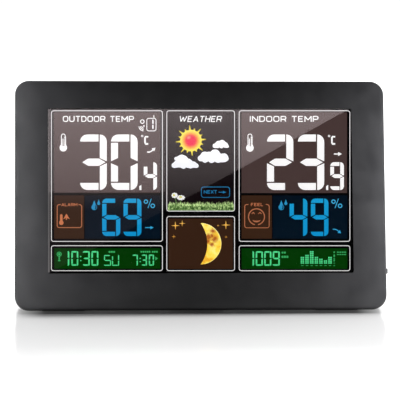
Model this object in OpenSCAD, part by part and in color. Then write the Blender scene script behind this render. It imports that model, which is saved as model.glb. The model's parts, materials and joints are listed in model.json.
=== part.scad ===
// Home weather station console: a wide, shallow desk display that leans back
// on a fold-out easel leg, with its battery bay, keys and sockets behind.
//
// All of the console is drawn upright in its own frame (x right, y from the
// front face to the back, z up along the face, origin at the middle of the
// front face's bottom edge) and tilted back as a whole by leaned().

/* [Console] */
// Width of the console
body_w = 200; // [196:1:206]
// Height of the front face
body_h = 124; // [122:1:130]
// Depth from the front face to the back cover
body_d = 25; // [25:0.5:28]
// Corner radius of the front face, seen from the front
corner_r = 7.5; // [5:0.5:10]
// Radius of the rounded edge around the front face
edge_r = 1.5; // [0.8:0.1:1.8]
// Angle by which the face leans back on its stand, in degrees
lean = 13; // [11:0.5:14]
// Wall thickness of both housings
wall = 2; // [1.8:0.1:2.2]

/* [Display] */
// Width of the window in the bezel
win_w = 164.3; // [160:0.1:165]
// Height of the window in the bezel
win_h = 89.4; // [86:0.2:90.6]
// Height of the bezel below the window
chin_h = 19.5; // [19.4:0.1:21]
// Depth of the window recess
recess_d = 1.0; // [0.8:0.1:1.2]
// Thickness of the clear window
lens_t = 1.4; // [1:0.1:1.4]

/* [Stand] */
// Angle between the folded and the open leg, in degrees
open_angle = 22; // [20:0.5:23]
// Height of the leg's hinge above the bottom of the console
hinge_h = 62; // [58:0.5:62]
// Width of the leg at its hinge
leg_w = 39.4; // [34:0.2:39.4]
// Thickness of the leg
leg_t = 3.6; // [3:0.1:3.8]
// Radius of the hinge pin
pin_r = 1.25; // [1:0.05:1.4]

/* [Keys] */
// Number of keys on the back is six; this is the distance between them
key_pitch = 20; // [17:0.5:20]
// Height of the key row above the bottom of the console
key_h = 98; // [97:0.5:99]
// Travel of each key
key_travel = 0.6; // [0.3:0.1:0.7]

/* [Batteries] */
// Diameter of one AAA cell
cell_d = 10.5; // [10:0.1:10.5]
// Length of one AAA cell
cell_l = 44.5; // [44:0.1:44.5]

/* [Wall mounting] */
// Distance between the two keyholes
keyhole_span = 152; // [148:1:156]
// Radius of a keyhole's round entry
keyhole_r = 4.2; // [3.8:0.1:4.6]
// Half width of a keyhole's slot
keyhole_slot_r = 2.1; // [1.8:0.1:2.2]

/* [Hidden] */

$fn = 48;
eps = 0.01;
hw = body_w / 2;
split_y = 7;                       // where the two housings meet
inset = 0.4;                       // how far the back cover stands inside the front one
pad_t = 0.8;                       // how far the rubber feet stand out
tl = tan(lean);
sl = sin(lean);
cl = cos(lean);
floor_z = -split_y * sl - pad_t;   // surface the console stands on, before it is lifted to zero
cham_y = 5;                        // depth of the back cover's sloping rim
cham_x = 3;                        // how far that rim narrows the cover
back_top = body_h - inset - cham_x;
edge_low = edge_r * cl + edge_r * sl - edge_r;
mid_y = (edge_low + body_d * cl + back_top * sl) / 2;

// display stack, from the window back
win_z = chin_h + win_h / 2;
lens_y = recess_d + 0.1;
glass_y = lens_y + lens_t + 0.2;
glass_t = 2.0;
film_y = glass_y + glass_t + 0.05;
frame_y1 = film_y + 4.45;
disp_hw = 84;
disp_lo = win_z - 46.0;
disp_hi = win_z + 47.0;

// boards
board_y = 10.8;
board_t = 1.6;
board_b = board_y + board_t;

// leg
hinge_y = body_d - 2.6;
foot_r = 2.4;
hinge_wz = -hinge_y * sl + hinge_h * cl - floor_z;
leg_l = (hinge_wz - foot_r) / cos(open_angle - lean);
well_w = leg_w / 2 + 0.9;          // half width of the leg's well
well_y = hinge_y - foot_r - 0.4;   // floor of the well
well_z = hinge_h + 4.5;

// battery bay
bay_x0 = 24.5;
bay_x1 = bay_x0 + cell_l + 9.5;
bay_z0 = 13.5;
bay_z1 = 50;
bay_y = 12.4;
door_t = 1.55;
cell_y = body_d - door_t - 0.25 - cell_d / 2;
cell_z = [20, 31, 42];

// keys, sockets and fixings
key_x = [for (i = [0:5]) (i - 2.5) * key_pitch];
case_x = hw - 9;
case_z = [12, body_h - 12];
board_holes = [[-80, body_h - 6.5], [80, body_h - 6.5], [-80, 10.5], [-30, 10.5]];
usb_y = 14;
usb_z = 41;
sw_y = 13.6;
sw_z = 21.4;
dc_x = -60;
dc_z = 24;
keyhole_z = 92;
buz_x = 46;
buz_z = 76;
side_x = hw - 15.8;

// ---------- helpers ----------

// tilts the console back and lifts it onto the floor
module leaned() translate([0, -mid_y, -floor_z]) rotate([-lean, 0, 0]) children();

// extrudes an (x, z) outline from y0 back to y1
module slab(y0, y1) translate([0, y1, 0]) rotate([90, 0, 0]) linear_extrude(y1 - y0) children();

// extrudes a (y, z) outline from x0 to x1
module along_x(x0, x1) translate([x0, 0, 0]) rotate([90, 0, 90]) linear_extrude(x1 - x0) children();

// rounded rectangle between two corners
module rr(x0, z0, x1, z1, r) {
    translate([x0 + r, z0]) square([x1 - x0 - 2 * r, z1 - z0]);
    translate([x0, z0 + r]) square([x1 - x0, z1 - z0 - 2 * r]);
    for (x = [x0 + r, x1 - r], z = [z0 + r, z1 - r]) translate([x, z]) circle(r);
}

module box(x0, x1, y0, y1, z0, z1) translate([x0, y0, z0]) cube([x1 - x0, y1 - y0, z1 - z0]);

// round bar along the depth
module rod_y(x, z, r, y0, y1) translate([x, y1, z]) rotate([90, 0, 0]) cylinder(r = r, h = y1 - y0);

// round bar along the width
module rod_x(y, z, r, x0, x1) translate([x0, y, z]) rotate([0, 90, 0]) cylinder(r = r, h = x1 - x0);

// pan-head screw driven from the back: the head's flat face sits at y
module screw(x, z, y, head_r, head_h, shank_r, shank_l)
    difference() {
        union() {
            rod_y(x, z, head_r, y, y + head_h);
            rod_y(x, z, shank_r, y - shank_l, y + eps);
        }
        box(x - head_r * 0.62, x + head_r * 0.62, y + head_h - 0.8, y + head_h + 1, z - 0.28, z + 0.28);
        box(x - 0.28, x + 0.28, y + head_h - 0.8, y + head_h + 1, z - head_r * 0.62, z + head_r * 0.62);
    }

// one turn list for a conical coil along x, and the tube that follows it
function coil_pt(t, turns, r0, r1, len) =
    let (a = 360 * turns * t, r = r0 + (r1 - r0) * t) [len * t, r * cos(a), r * sin(a)];
module coil(turns, r0, r1, len, wire, steps = 14, sides = 6) {
    n = turns * steps;
    pts = [for (i = [0:n], k = [0:sides - 1])
        let (t = i / n, a = 360 * turns * t, r = r0 + (r1 - r0) * t, b = 360 * k / sides,
             rr = r + wire * cos(b))
        [len * t + wire * sin(b), rr * cos(a), rr * sin(a)]];
    side = [for (i = [0:n - 1], k = [0:sides - 1])
        let (p = i * sides + k, q = i * sides + (k + 1) % sides)
        [p, p + sides, q + sides, q]];
    polyhedron(points = pts, convexity = 8,
        faces = concat([[for (k = [0:sides - 1]) k]], side,
            [[for (k = [0:sides - 1]) n * sides + sides - 1 - k]]));
}

// ---------- outer shapes ----------

module front_outer()
    hull() for (s = [[0, edge_r], [0.18, 0.47], [0.5, 0.17], [1, 0]]) {
        y = edge_r * s[0];
        d = s[0] == 0 ? edge_r * 0.9 : edge_r * s[1];
        slab(y, s[0] == 1 ? split_y : y + eps)
            rr(-hw + d, d, hw - d, body_h - d, corner_r - d, $fn = 32);
    }

// back cover's outside, or with s > 0 the space that many millimetres inside it
module rear_outer(s = 0) {
    x = hw - inset - s;
    top = body_h - inset - s;
    y1 = body_d - s;
    k = s * 0.3;
    intersection() {
        slab(split_y - (s > 0 ? 1 : 0), y1)
            rr(-x, inset + s, x, top, corner_r - inset - s);
        linear_extrude(400, center = true)
            polygon([[-x, 0], [x, 0], [x, body_d - cham_y - k], [x - cham_x + s * 0.2, y1],
                [-x + cham_x - s * 0.2, y1], [-x, body_d - cham_y - k]]);
        along_x(-hw, hw)
            polygon([[0, -split_y * tl + s / cl], [y1, (y1 - split_y) * tl + s / cl],
                [y1, top - cham_x + s * 0.2], [body_d - cham_y - k, top], [0, top]]);
    }
}

// ---------- front housing and display ----------

module front_housing() color([0.07, 0.07, 0.075]) leaned() {
    difference() {
        union() {
            difference() {
                front_outer();
                // inside of the tray
                slab(2.2, split_y + 1)
                    rr(-hw + wall, wall, hw - wall, body_h - wall, corner_r - wall);
            }
            // posts for the case screws and for the board screws
            for (x = [-case_x, case_x], z = case_z) rod_y(x, z, 3, 2.1, 9);
            for (p = board_holes) rod_y(p[0], p[1], 2.6, 2.1, board_y);
            // ribs that hold the display frame sideways
            for (s = [-1, 1], z = [35, 65, 95])
                box(s > 0 ? disp_hw + 1.8 : -disp_hw - 2.8, s > 0 ? disp_hw + 2.8 : -disp_hw - 1.8, 2.1, 8, z - 5, z + 5);
        }
        // window and the pocket behind it
        slab(-1, recess_d + 1)
            rr(-win_w / 2, chin_h, win_w / 2, chin_h + win_h, 1);
        slab(recess_d, 3)
            rr(-win_w / 2 - 2.1, chin_h - 2.1, win_w / 2 + 2.1, chin_h + win_h + 2.1, 1.5);
        for (x = [-case_x, case_x], z = case_z) rod_y(x, z, 1.3, 3.2, 10);
        for (p = board_holes) rod_y(p[0], p[1], 1.05, 4, board_y + 1);
        // half of the side openings' clearance
        box(side_x, hw - wall + 0.2, 5.5, split_y + 1, usb_z - 4, usb_z + 4);
    }
}

module display_lens() color([0.1, 0.1, 0.11, 0.35]) leaned()
    slab(lens_y, lens_y + lens_t)
        rr(-win_w / 2 - 1.85, chin_h - 1.85, win_w / 2 + 1.85, chin_h + win_h + 1.85, 1.2);

module lens_adhesive() color([0.12, 0.12, 0.12]) leaned()
    difference() {
        slab(recess_d, lens_y)
            rr(-win_w / 2 - 1.85, chin_h - 1.85, win_w / 2 + 1.85, chin_h + win_h + 1.85, 1.2);
        slab(0, 3)
            rr(-win_w / 2 - 0.5, chin_h - 0.5, win_w / 2 + 0.5, chin_h + win_h + 0.5, 1);
    }

module lcd_glass() color([0.05, 0.05, 0.06]) leaned()
    box(-disp_hw, disp_hw, glass_y, glass_y + glass_t, disp_lo - 3.2, disp_hi);

module colour_film() color([0.35, 0.30, 0.30]) leaned()
    box(-disp_hw + 0.5, disp_hw - 0.5, film_y, film_y + 0.15, disp_lo + 0.2, disp_hi - 0.3);

module diffuser_sheet() color([0.93, 0.93, 0.95]) leaned()
    box(-disp_hw + 0.5, disp_hw - 0.5, film_y + 0.2, film_y + 0.4, disp_lo + 0.2, disp_hi - 0.3);

module light_guide() color([0.85, 0.9, 0.95]) leaned()
    box(-disp_hw + 0.5, disp_hw - 3.5, film_y + 0.45, film_y + 3.25, disp_lo + 0.2, disp_hi - 0.3);

module reflector_sheet() color([0.96, 0.96, 0.96]) leaned()
    box(-disp_hw + 0.5, disp_hw - 0.5, film_y + 3.3, film_y + 3.55, disp_lo + 0.2, disp_hi - 0.3);

module backlight_leds() color([0.98, 0.95, 0.75]) leaned()
    for (i = [0:7])
        box(disp_hw - 3.4, disp_hw - 1.6, film_y + 0.8, film_y + 2.8, disp_lo + 8 + i * 10.6, disp_lo + 11 + i * 10.6);

module led_strip() color([0.9, 0.9, 0.88]) leaned()
    box(disp_hw - 1.6, disp_hw - 0.6, film_y + 0.5, film_y + 3.2, disp_lo + 1, disp_hi - 1);

module lcd_frame() color([0.9, 0.9, 0.88]) leaned()
    difference() {
        box(-disp_hw - 1.5, disp_hw + 1.5, film_y, frame_y1, disp_lo - 0.8, disp_hi + 1.2);
        box(-disp_hw, disp_hw, film_y - 1, film_y + 3.6, disp_lo, disp_hi);
        // windows that lighten the tray's back
        for (x = [-60, -20, 20]) box(x, x + 36, film_y, frame_y1 + 1, disp_lo + 12, disp_hi - 12);
    }

module lcd_ribbon() color([0.75, 0.5, 0.2]) leaned()
    along_x(-76, -40)
        polygon([[film_y, disp_lo - 1], [film_y, disp_lo - 4.6], [board_y, disp_lo - 4.6], [board_y, disp_lo + 1],
            [board_y - 0.15, disp_lo + 1], [board_y - 0.15, disp_lo - 4.45], [film_y + 0.15, disp_lo - 4.45],
            [film_y + 0.15, disp_lo - 1]]);

// ---------- electronics ----------

module main_board() color([0.08, 0.35, 0.18]) leaned()
    difference() {
        slab(board_y, board_b) union() {
            translate([-86, 58]) square([172, body_h - 61.5]);
            translate([-86, 6.5]) square([62, 52]);
        }
        for (p = board_holes) rod_y(p[0], p[1], 1.5, board_y - 1, board_b + 1);
        // corners cut back around the case screws' posts
        for (x = [-86, 86]) box(x - 1.5, x + 1.5, board_y - 1, board_b + 1, case_z[1] - 5, case_z[1] + 5);
        box(-88, -84.5, board_y - 1, board_b + 1, case_z[0] - 7, case_z[0] + 5);
        // cut back below the snooze bar
        box(-26, 26, board_y - 1, board_b + 1, body_h - 5.6, body_h);
    }

module board_chips() color([0.1, 0.1, 0.11]) leaned() {
    box(-57, -43, board_b, board_b + 1.1, 78, 92);
    box(4, 14, board_b, board_b + 1.1, 74, 84);
    box(-62, -56, board_b, board_b + 1.4, 60, 65);
    box(26, 31, board_b, board_b + 1.4, 60, 66);
}

module board_passives() color([0.72, 0.66, 0.55]) leaned() {
    for (i = [0:7]) box(-40 + i * 4, -38.4 + i * 4, board_b, board_b + 0.8, 86, 87);
    for (i = [0:5]) box(-66, -64.4, board_b, board_b + 0.8, 72 + i * 3.4, 73 + i * 3.4);
    for (i = [0:5]) box(18 + i * 3.2, 19.6 + i * 3.2, board_b, board_b + 0.8, 84, 85);
    for (i = [0:3]) box(-50 + i * 5, -48 + i * 5, board_b, board_b + 0.9, 34, 35.2);
}

module capacitors() color([0.2, 0.25, 0.45]) leaned()
    for (p = [[-34, 76], [-28, 80], [34, 74], [-34, 24]])
        rod_y(p[0], p[1], 2.5, board_b, board_b + 5.4);

module clock_crystal() color([0.8, 0.8, 0.82]) leaned()
    rod_x(board_b + 1.15, 70, 1.1, -56, -50);

module buzzer() color([0.06, 0.06, 0.06]) leaned()
    difference() {
        rod_y(buz_x, buz_z, 6, board_b, board_b + 6.5);
        rod_y(buz_x, buz_z, 1, board_b + 4, board_b + 7);
    }

module pressure_sensor() color([0.78, 0.78, 0.8]) leaned()
    difference() {
        box(-8, -4.2, board_b, board_b + 1, 76, 79.6);
        rod_y(-7, 77, 0.3, board_b + 0.5, board_b + 2);
    }

module radio_module() color([0.1, 0.25, 0.5]) leaned() {
    box(58, 80, board_b + 1, board_b + 1.8, 62, 80);
    for (i = [0:6]) box(60.5 + i * 3, 61.1 + i * 3, board_b, board_b + 1, 63, 63.6);
}

module radio_shield() color([0.8, 0.8, 0.8]) leaned()
    box(61, 77, board_b + 1.8, board_b + 3.8, 66, 78);

module ferrite_rod() color([0.18, 0.17, 0.17]) leaned() rod_x(18.2, 46, 4, -82, -30);

module antenna_coil() color([0.7, 0.38, 0.16]) leaned()
    difference() {
        rod_x(18.2, 46, 4.7, -66, -46);
        rod_x(18.2, 46, 4.02, -67, -45);
    }

module antenna_saddles() color([0.85, 0.85, 0.83]) leaned()
    for (x = [-79, -38]) difference() {
        box(x, x + 5, board_b, 18.2, 41, 51);
        rod_x(18.2, 46, 4.02, x - 1, x + 6);
    }

module side_board() color([0.08, 0.35, 0.18]) leaned()
    box(side_x, side_x + 1.6, 9.9, 21.5, 15.5, 48);

module usb_shell() color([0.75, 0.75, 0.77]) leaned()
    difference() {
        box(side_x + 1.6, hw - inset, usb_y - 6.55, usb_y + 6.55, usb_z - 2.86, usb_z + 2.86);
        box(side_x + 2, hw, usb_y - 6.25, usb_y + 6.25, usb_z - 2.56, usb_z + 2.56);
    }

module usb_tongue() color([0.9, 0.9, 0.9]) leaned() {
    box(side_x + 2, side_x + 4, usb_y - 6.25, usb_y + 6.25, usb_z - 2.56, usb_z + 2.56);
    box(side_x + 4 - eps, hw - inset - 1, usb_y - 5.55, usb_y + 5.55, usb_z + 0.3, usb_z + 2.14);
}

module dc_jack() color([0.05, 0.05, 0.05]) leaned()
    difference() {
        union() {
            box(dc_x - 4.7, dc_x + 4.7, board_b, body_d - wall, dc_z - 5.5, dc_z + 5.5);
            rod_y(dc_x, dc_z, 4.3, body_d - wall - 1, body_d - 0.1);
        }
        rod_y(dc_x, dc_z, 2.9, board_b + 1.4, body_d + 1);
    }

module dc_pin() color([0.8, 0.78, 0.7]) leaned()
    rod_y(dc_x, dc_z, 1, board_b + 1.4, body_d - 2);

module light_switch() color([0.15, 0.15, 0.15]) leaned()
    difference() {
        box(side_x + 1.6, side_x + 7, sw_y - 2.2, sw_y + 2.2, sw_z - 4.5, sw_z + 4.5);
        box(side_x + 5, side_x + 8, sw_y - 1.2, sw_y + 1.2, sw_z - 3.4, sw_z + 3.4);
    }

module key_board() color([0.08, 0.35, 0.18]) leaned()
    difference() {
        box(-64, 64, 13.6, 15.2, key_h - 6, key_h + 6);
        for (x = [-60.5, 60.5]) rod_y(x, key_h, 1.3, 13, 16);
    }

module key_switches() color([0.2, 0.2, 0.22]) leaned()
    for (x = key_x) {
        box(x - 3, x + 3, 15.2, 18.7, key_h - 3, key_h + 3);
        rod_y(x, key_h, 1.7, 18.7 - eps, 19.6);
    }

module key_board_screws() color([0.7, 0.7, 0.72]) leaned()
    for (x = [-60.5, 60.5]) {
        rod_y(x, key_h, 2.2, 12.5, 13.6);
        rod_y(x, key_h, 1, 13.6 - eps, 19.5);
    }

module snooze_board() color([0.08, 0.35, 0.18]) leaned()
    box(-13, 13, 13, 22, body_h - 14.5, body_h - 13.3);

module snooze_switch() color([0.2, 0.2, 0.22]) leaned() {
    box(-3, 3, 12 + 1.6, 18 + 1.6, body_h - 13.3, body_h - 9.8);
    translate([0, 16.6, body_h - 9.8 - eps]) cylinder(r = 1.7, h = 2.8);
}

module sensor_board() color([0.08, 0.35, 0.18]) leaned()
    box(-93, -81, 16.8, 18, 60, 84);

module humidity_sensor() color([0.92, 0.92, 0.92]) leaned()
    difference() {
        box(-88.5, -85.5, 18, 19.1, 70, 73);
        rod_y(-87, 71.5, 0.9, 18.7, 20);
    }

// ---------- batteries ----------

module battery_cells() color([0.25, 0.27, 0.3]) leaned()
    for (i = [0:2]) {
        x0 = bay_x0 + (i % 2 == 0 ? 9 : 0.5);
        flip = i % 2;
        rod_x(cell_y, cell_z[i], cell_d / 2, x0 + (flip ? 0.9 : 0), x0 + cell_l - (flip ? 0 : 0.9));
        rod_x(cell_y, cell_z[i], 1.9, flip ? x0 : x0 + cell_l - 1, flip ? x0 + 1 : x0 + cell_l);
    }

module battery_springs() color([0.75, 0.75, 0.77]) leaned()
    for (i = [0:2])
        translate([i % 2 ? bay_x1 - 0.75 : bay_x0 + 0.75, cell_y, cell_z[i]])
            mirror([i % 2, 0, 0]) translate([0.35, 0, 0]) coil(5, 3.9, 2.4, 7.35, 0.33);

module battery_plates() color([0.78, 0.78, 0.8]) leaned()
    for (i = [0:2]) {
        s = i % 2;
        box(bay_x0 + 0.05, bay_x0 + 0.45, cell_y - 4.6, cell_y + 4.4, cell_z[i] - 4.6, cell_z[i] + 4.6);
        box(bay_x1 - 0.45, bay_x1 - 0.05, cell_y - 4.6, cell_y + 4.4, cell_z[i] - 4.6, cell_z[i] + 4.6);
    }

module battery_leads() color([0.75, 0.1, 0.1]) leaned()
    for (k = [0, 1]) {
        z = 53.5 + k * 2.2;
        rod_x(14.2, z, 0.6, -20, 30);
        translate([-20, 14.2, z]) sphere(0.66);
        translate([30, 14.2, z]) sphere(0.66);
        translate([-20, 14.2, z]) cylinder(r = 0.6, h = 62.5 - z);
        translate([-20, 14.2, 62.5]) sphere(0.66);
        rod_y(-20, 62.5, 0.6, board_b, 14.2);
    }

// ---------- rear housing ----------

module keyhole(x) {
    rod_y(x, keyhole_z, keyhole_r, body_d - wall - 0.5, body_d + 1);
    rod_y(x, keyhole_z + 8, keyhole_slot_r, body_d - wall - 0.5, body_d + 1);
    box(x - keyhole_slot_r, x + keyhole_slot_r, body_d - wall - 0.5, body_d + 1, keyhole_z, keyhole_z + 8);
}

module rear_housing() color([0.09, 0.09, 0.095]) leaned()
    difference() {
        union() {
            difference() {
                rear_outer();
                rear_outer(wall);
            }
            intersection() {
                rear_outer();
                union() {
                    for (x = [-case_x, case_x], z = case_z) rod_y(x, z, 4.2, 9, body_d - 1);
                    for (x = [-60.5, 60.5]) rod_y(x, key_h, 2.4, 15.2, body_d - 1);
                    // leg's well
                    box(-well_w - 1.6, well_w + 1.6, well_y - 1.6, body_d - 1, 1, well_z + 1.6);
                    // battery bay
                    box(bay_x0 - 1.2, bay_x1 + 1.2, bay_y - 1.2, body_d - 1, bay_z0 - 1.2, bay_z1 + 1.2);
                    // guides of the side board, the snooze board and the sensor board
                    box(side_x - 1.2, side_x, 17, body_d - 1, 22, 30);
                    for (x = [-14.2, 13]) box(x, x + 1.2, 17, body_d - 1, body_h - 17, body_h - 11);
                    box(-95.5, -93, 16.5, body_d - 2, 66, 78);
                }
            }
        }
        // leg's well and battery bay, open to the back
        box(-well_w, well_w, well_y, body_d + 1, -1, well_z);
        box(bay_x0, bay_x1, bay_y, body_d + 1, bay_z0, bay_z1);
        slab(body_d - door_t - 0.05, body_d + 1)
            rr(bay_x0 - 1.1, bay_z0 - 1.1, bay_x1 + 1.1, bay_z1 + 1.1, 1.5);
        // finger notch above the battery door
        box(bay_x0 + 20, bay_x0 + 34, body_d - 1.2, body_d + 1, bay_z1, bay_z1 + 5);
        // pin holes in the well's sides
        rod_x(hinge_y, hinge_h, pin_r, -well_w - 1.2, well_w + 1.2);
        // case screws
        for (x = [-case_x, case_x], z = case_z) {
            rod_y(x, z, 3.1, 12, body_d + 1);
            rod_y(x, z, 1.6, 8, 13);
        }
        for (x = [-60.5, 60.5]) rod_y(x, key_h, 1.02, 15, 20);
        // keys
        for (x = key_x) slab(body_d - wall - 1, body_d + 1)
            rr(x - 5.25, key_h - 3, x + 5.25, key_h + 3, 1.5);
        keyhole(-keyhole_span / 2);
        keyhole(keyhole_span / 2);
        // barrel socket, with a shallow dish around it
        rod_y(dc_x, dc_z, 4.6, body_d - wall - 0.5, body_d + 1);
        // side socket and switch slot
        box(hw - wall - inset - 1, hw + 1, usb_y - 6.85, usb_y + 6.85, usb_z - 3.2, usb_z + 3.2);
        box(hw - wall - inset - 1, hw + 1, sw_y - 2.2, sw_y + 2.2, sw_z - 3.6, sw_z + 3.6);
        // snooze bar
        translate([0, 0, body_h - wall - inset - 1]) linear_extrude(6)
            rr(-22.3, 11.2, 22.3, 18.8, 2);
        // air slots over the humidity sensor, sound holes over the buzzer
        for (i = [0:5]) box(-93, -81, body_d - 4, body_d + 1, 61.5 + i * 4, 63.1 + i * 4);
        rod_y(buz_x, buz_z, 0.7, body_d - 3, body_d + 1);
        for (a = [0:60:300]) rod_y(buz_x + 3.2 * cos(a), buz_z + 3.2 * sin(a), 0.7, body_d - 3, body_d + 1);
        // shallow seats for the rubber feet
        rotate([lean, 0, 0]) for (s = [-1, 1])
            translate([s * 74, 0, -split_y * sl - 1]) linear_extrude(1.5)
                rr(-12.2, 10.3, 12.2, 19.7, 2.2);
    }

module housing_screws() color([0.35, 0.35, 0.37]) leaned()
    for (x = [-case_x, case_x], z = case_z) screw(x, z, 12, 2.7, 1.8, 1.25, 8.2);

module board_screws() color([0.7, 0.7, 0.72]) leaned()
    for (p = board_holes) screw(p[0], p[1], board_b, 2.2, 1.4, 1, 7.5);

// rubber feet, flat on the floor
module rubber_feet() color([0.12, 0.12, 0.12]) translate([0, -mid_y, 0])
    for (s = [-1, 1]) translate([s * 74, 0, 0]) {
        linear_extrude(pad_t + 0.5) rr(-12, 10.5, 12, 19.5, 2);
    }

// ---------- stand ----------

module at_hinge() leaned() translate([0, hinge_y, hinge_h]) rotate([open_angle, 0, 0]) children();

module stand_pin() color([0.75, 0.75, 0.77]) leaned()
    rod_x(hinge_y, hinge_h, pin_r, -well_w - 1.1, well_w + 1.1);

module stand_leg() color([0.08, 0.08, 0.085]) at_hinge()
    difference() {
        union() {
            rod_x(0, 0, 2.3, -leg_w / 2, leg_w / 2);
            translate([0, leg_t / 2, 0]) rotate([90, 0, 0]) linear_extrude(leg_t)
                polygon([[-leg_w / 2, 0], [leg_w / 2, 0], [leg_w / 2 - 3, -leg_l + 2.6], [-leg_w / 2 + 3, -leg_l + 2.6]]);
            // tongue inside the foot pad
            box(-13, 13, -0.8, 0.8, -leg_l - 0.9, -leg_l + 3);
        }
        rod_x(0, 0, pin_r + 0.06, -leg_w, leg_w);
        // shallow panel in the leg's outer face
        translate([0, leg_t / 2 + 1, 0]) rotate([90, 0, 0]) linear_extrude(2.2)
            rr(-leg_w / 2 + 6, -leg_l + 9, leg_w / 2 - 6, -9, 2);
    }

module stand_foot_pad() color([0.1, 0.1, 0.1]) at_hinge()
    difference() {
        rod_x(0, -leg_l, foot_r, -15, 15);
        box(-13, 13, -0.8, 0.8, -leg_l - 0.9, -leg_l + 3);
    }

// ---------- other moving pieces ----------

module battery_door() color([0.09, 0.09, 0.095]) leaned()
    difference() {
        union() {
            slab(body_d - door_t, body_d)
                rr(bay_x0 - 0.85, bay_z0 - 0.85, bay_x1 + 0.85, bay_z1 + 0.85, 1.3);
            // snap latch
            box((bay_x0 + bay_x1) / 2 - 4, (bay_x0 + bay_x1) / 2 + 4, 20, body_d - door_t + 0.2, 48.4, 49.5);
        }
        // grip grooves
        for (i = [0:4]) box((bay_x0 + bay_x1) / 2 - 8, (bay_x0 + bay_x1) / 2 + 8, body_d - 0.5, body_d + 1, 37 + i * 2, 37.9 + i * 2);
    }

module key(i) color([0.12, 0.12, 0.125]) leaned() {
    x = key_x[i];
    slab(body_d - wall - 0.2, body_d + 0.9)
        rr(x - 5, key_h - 2.75, x + 5, key_h + 2.75, 1.3);
    box(x - 6.5, x + 6.5, body_d - wall - 1.2, body_d - wall - 0.05, key_h - 4.2, key_h + 4.2);
    rod_y(x, key_h, 1.3, 20.4, body_d - wall - 1);
}

module key_1() key(0);
module key_2() key(1);
module key_3() key(2);
module key_4() key(3);
module key_5() key(4);
module key_6() key(5);

module snooze_bar() color([0.12, 0.12, 0.125]) leaned() {
    translate([0, 0, body_h - wall - inset - 1]) linear_extrude(wall + 1.8)
        rr(-22, 11.5, 22, 18.5, 1.7);
    box(-24, 24, 10, 19.1, body_h - wall - inset - 1.3, body_h - wall - inset - 0.05);
    translate([0, 16.6, body_h - 6.2]) cylinder(r = 1.6, h = 2.6);
}

module switch_knob() color([0.14, 0.14, 0.145]) leaned() {
    box(hw - inset - wall - 1.2, hw + 2.3, sw_y - 1.8, sw_y + 1.8, sw_z - 1.4, sw_z + 1.4);
    box(hw - inset - wall - 1.3, hw - inset - wall - 0.3, sw_y - 3.4, sw_y + 3.4, sw_z - 5.3, sw_z + 5.3);
    box(side_x + 5.5, hw - inset - wall - 1.2, sw_y - 0.8, sw_y + 0.8, sw_z - 1.1, sw_z + 1.1);
}

front_housing();
display_lens();
lens_adhesive();
lcd_glass();
colour_film();
diffuser_sheet();
light_guide();
reflector_sheet();
backlight_leds();
led_strip();
lcd_frame();
lcd_ribbon();
main_board();
board_chips();
board_passives();
capacitors();
clock_crystal();
buzzer();
pressure_sensor();
radio_module();
radio_shield();
ferrite_rod();
antenna_coil();
antenna_saddles();
side_board();
usb_shell();
usb_tongue();
dc_jack();
dc_pin();
light_switch();
key_board();
key_switches();
key_board_screws();
snooze_board();
snooze_switch();
sensor_board();
humidity_sensor();
battery_springs();
battery_plates();
battery_cells();
battery_leads();
rear_housing();
housing_screws();
board_screws();
rubber_feet();
stand_pin();
stand_leg();
stand_foot_pad();
battery_door();
key_1();
key_2();
key_3();
key_4();
key_5();
key_6();
snooze_bar();
switch_knob();
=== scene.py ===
import json
import math

import bmesh
import bpy
from mathutils import Matrix, Vector


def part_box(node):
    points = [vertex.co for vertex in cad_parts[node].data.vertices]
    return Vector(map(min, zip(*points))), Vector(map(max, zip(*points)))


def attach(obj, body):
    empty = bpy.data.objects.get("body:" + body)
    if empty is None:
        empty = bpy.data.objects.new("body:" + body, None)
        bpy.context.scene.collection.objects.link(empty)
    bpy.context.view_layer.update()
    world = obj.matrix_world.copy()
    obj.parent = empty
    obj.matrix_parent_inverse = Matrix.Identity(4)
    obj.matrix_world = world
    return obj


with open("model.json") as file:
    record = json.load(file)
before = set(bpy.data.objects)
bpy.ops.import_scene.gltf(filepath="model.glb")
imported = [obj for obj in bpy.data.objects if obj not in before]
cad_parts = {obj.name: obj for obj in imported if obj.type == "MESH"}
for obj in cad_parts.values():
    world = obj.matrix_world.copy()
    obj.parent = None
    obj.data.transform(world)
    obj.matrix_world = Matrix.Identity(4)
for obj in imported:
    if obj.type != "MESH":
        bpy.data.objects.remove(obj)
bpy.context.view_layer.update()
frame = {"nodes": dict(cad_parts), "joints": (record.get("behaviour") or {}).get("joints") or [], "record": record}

NODES = frame["nodes"]
MM = 0.001

# ---------------------------------------------------------------- the console's own frame
# The console leans back; its cover lifts off along its depth, so that joint gives the lean.
depth_axis = Vector(next(j["axis"] for j in frame["joints"] if j["name"] == "battery_door_lift")).normalized()
AY = depth_axis
AX = Vector((1, 0, 0))
AZ = AX.cross(AY)
R3 = Matrix((AX, AY, AZ)).transposed()


def lean_box(node):
    """Lowest and highest corner of a CAD node along the console's own axes."""
    pts = [R3.transposed() @ v.co for v in NODES[node].data.vertices]
    return (Vector([min(p[i] for p in pts) for i in range(3)]),
            Vector([max(p[i] for p in pts) for i in range(3)]))


f_lo, f_hi = lean_box("front_housing")
ORIGIN = Vector(((f_lo.x + f_hi.x) / 2, f_lo.y, f_lo.z))
TO_ROW = (Matrix.Translation(R3 @ ORIGIN) @ R3.to_4x4())


def own(node):
    lo, hi = lean_box(node)
    return lo - ORIGIN, hi - ORIGIN


lens_lo, lens_hi = own("display_lens")
glass_lo, glass_hi = own("lcd_glass")
LIP = 1.85 * MM                      # the window's edge stands this far inside the clear plate's edge
WX0, WX1 = lens_lo.x + LIP, lens_hi.x - LIP
WZ0, WZ1 = lens_lo.z + LIP, lens_hi.z - LIP
FACE = glass_lo.y                    # front of the display glass
ROOM = glass_lo.y - lens_hi.y        # air gap between window and display

# ---------------------------------------------------------------- small helpers


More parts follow.
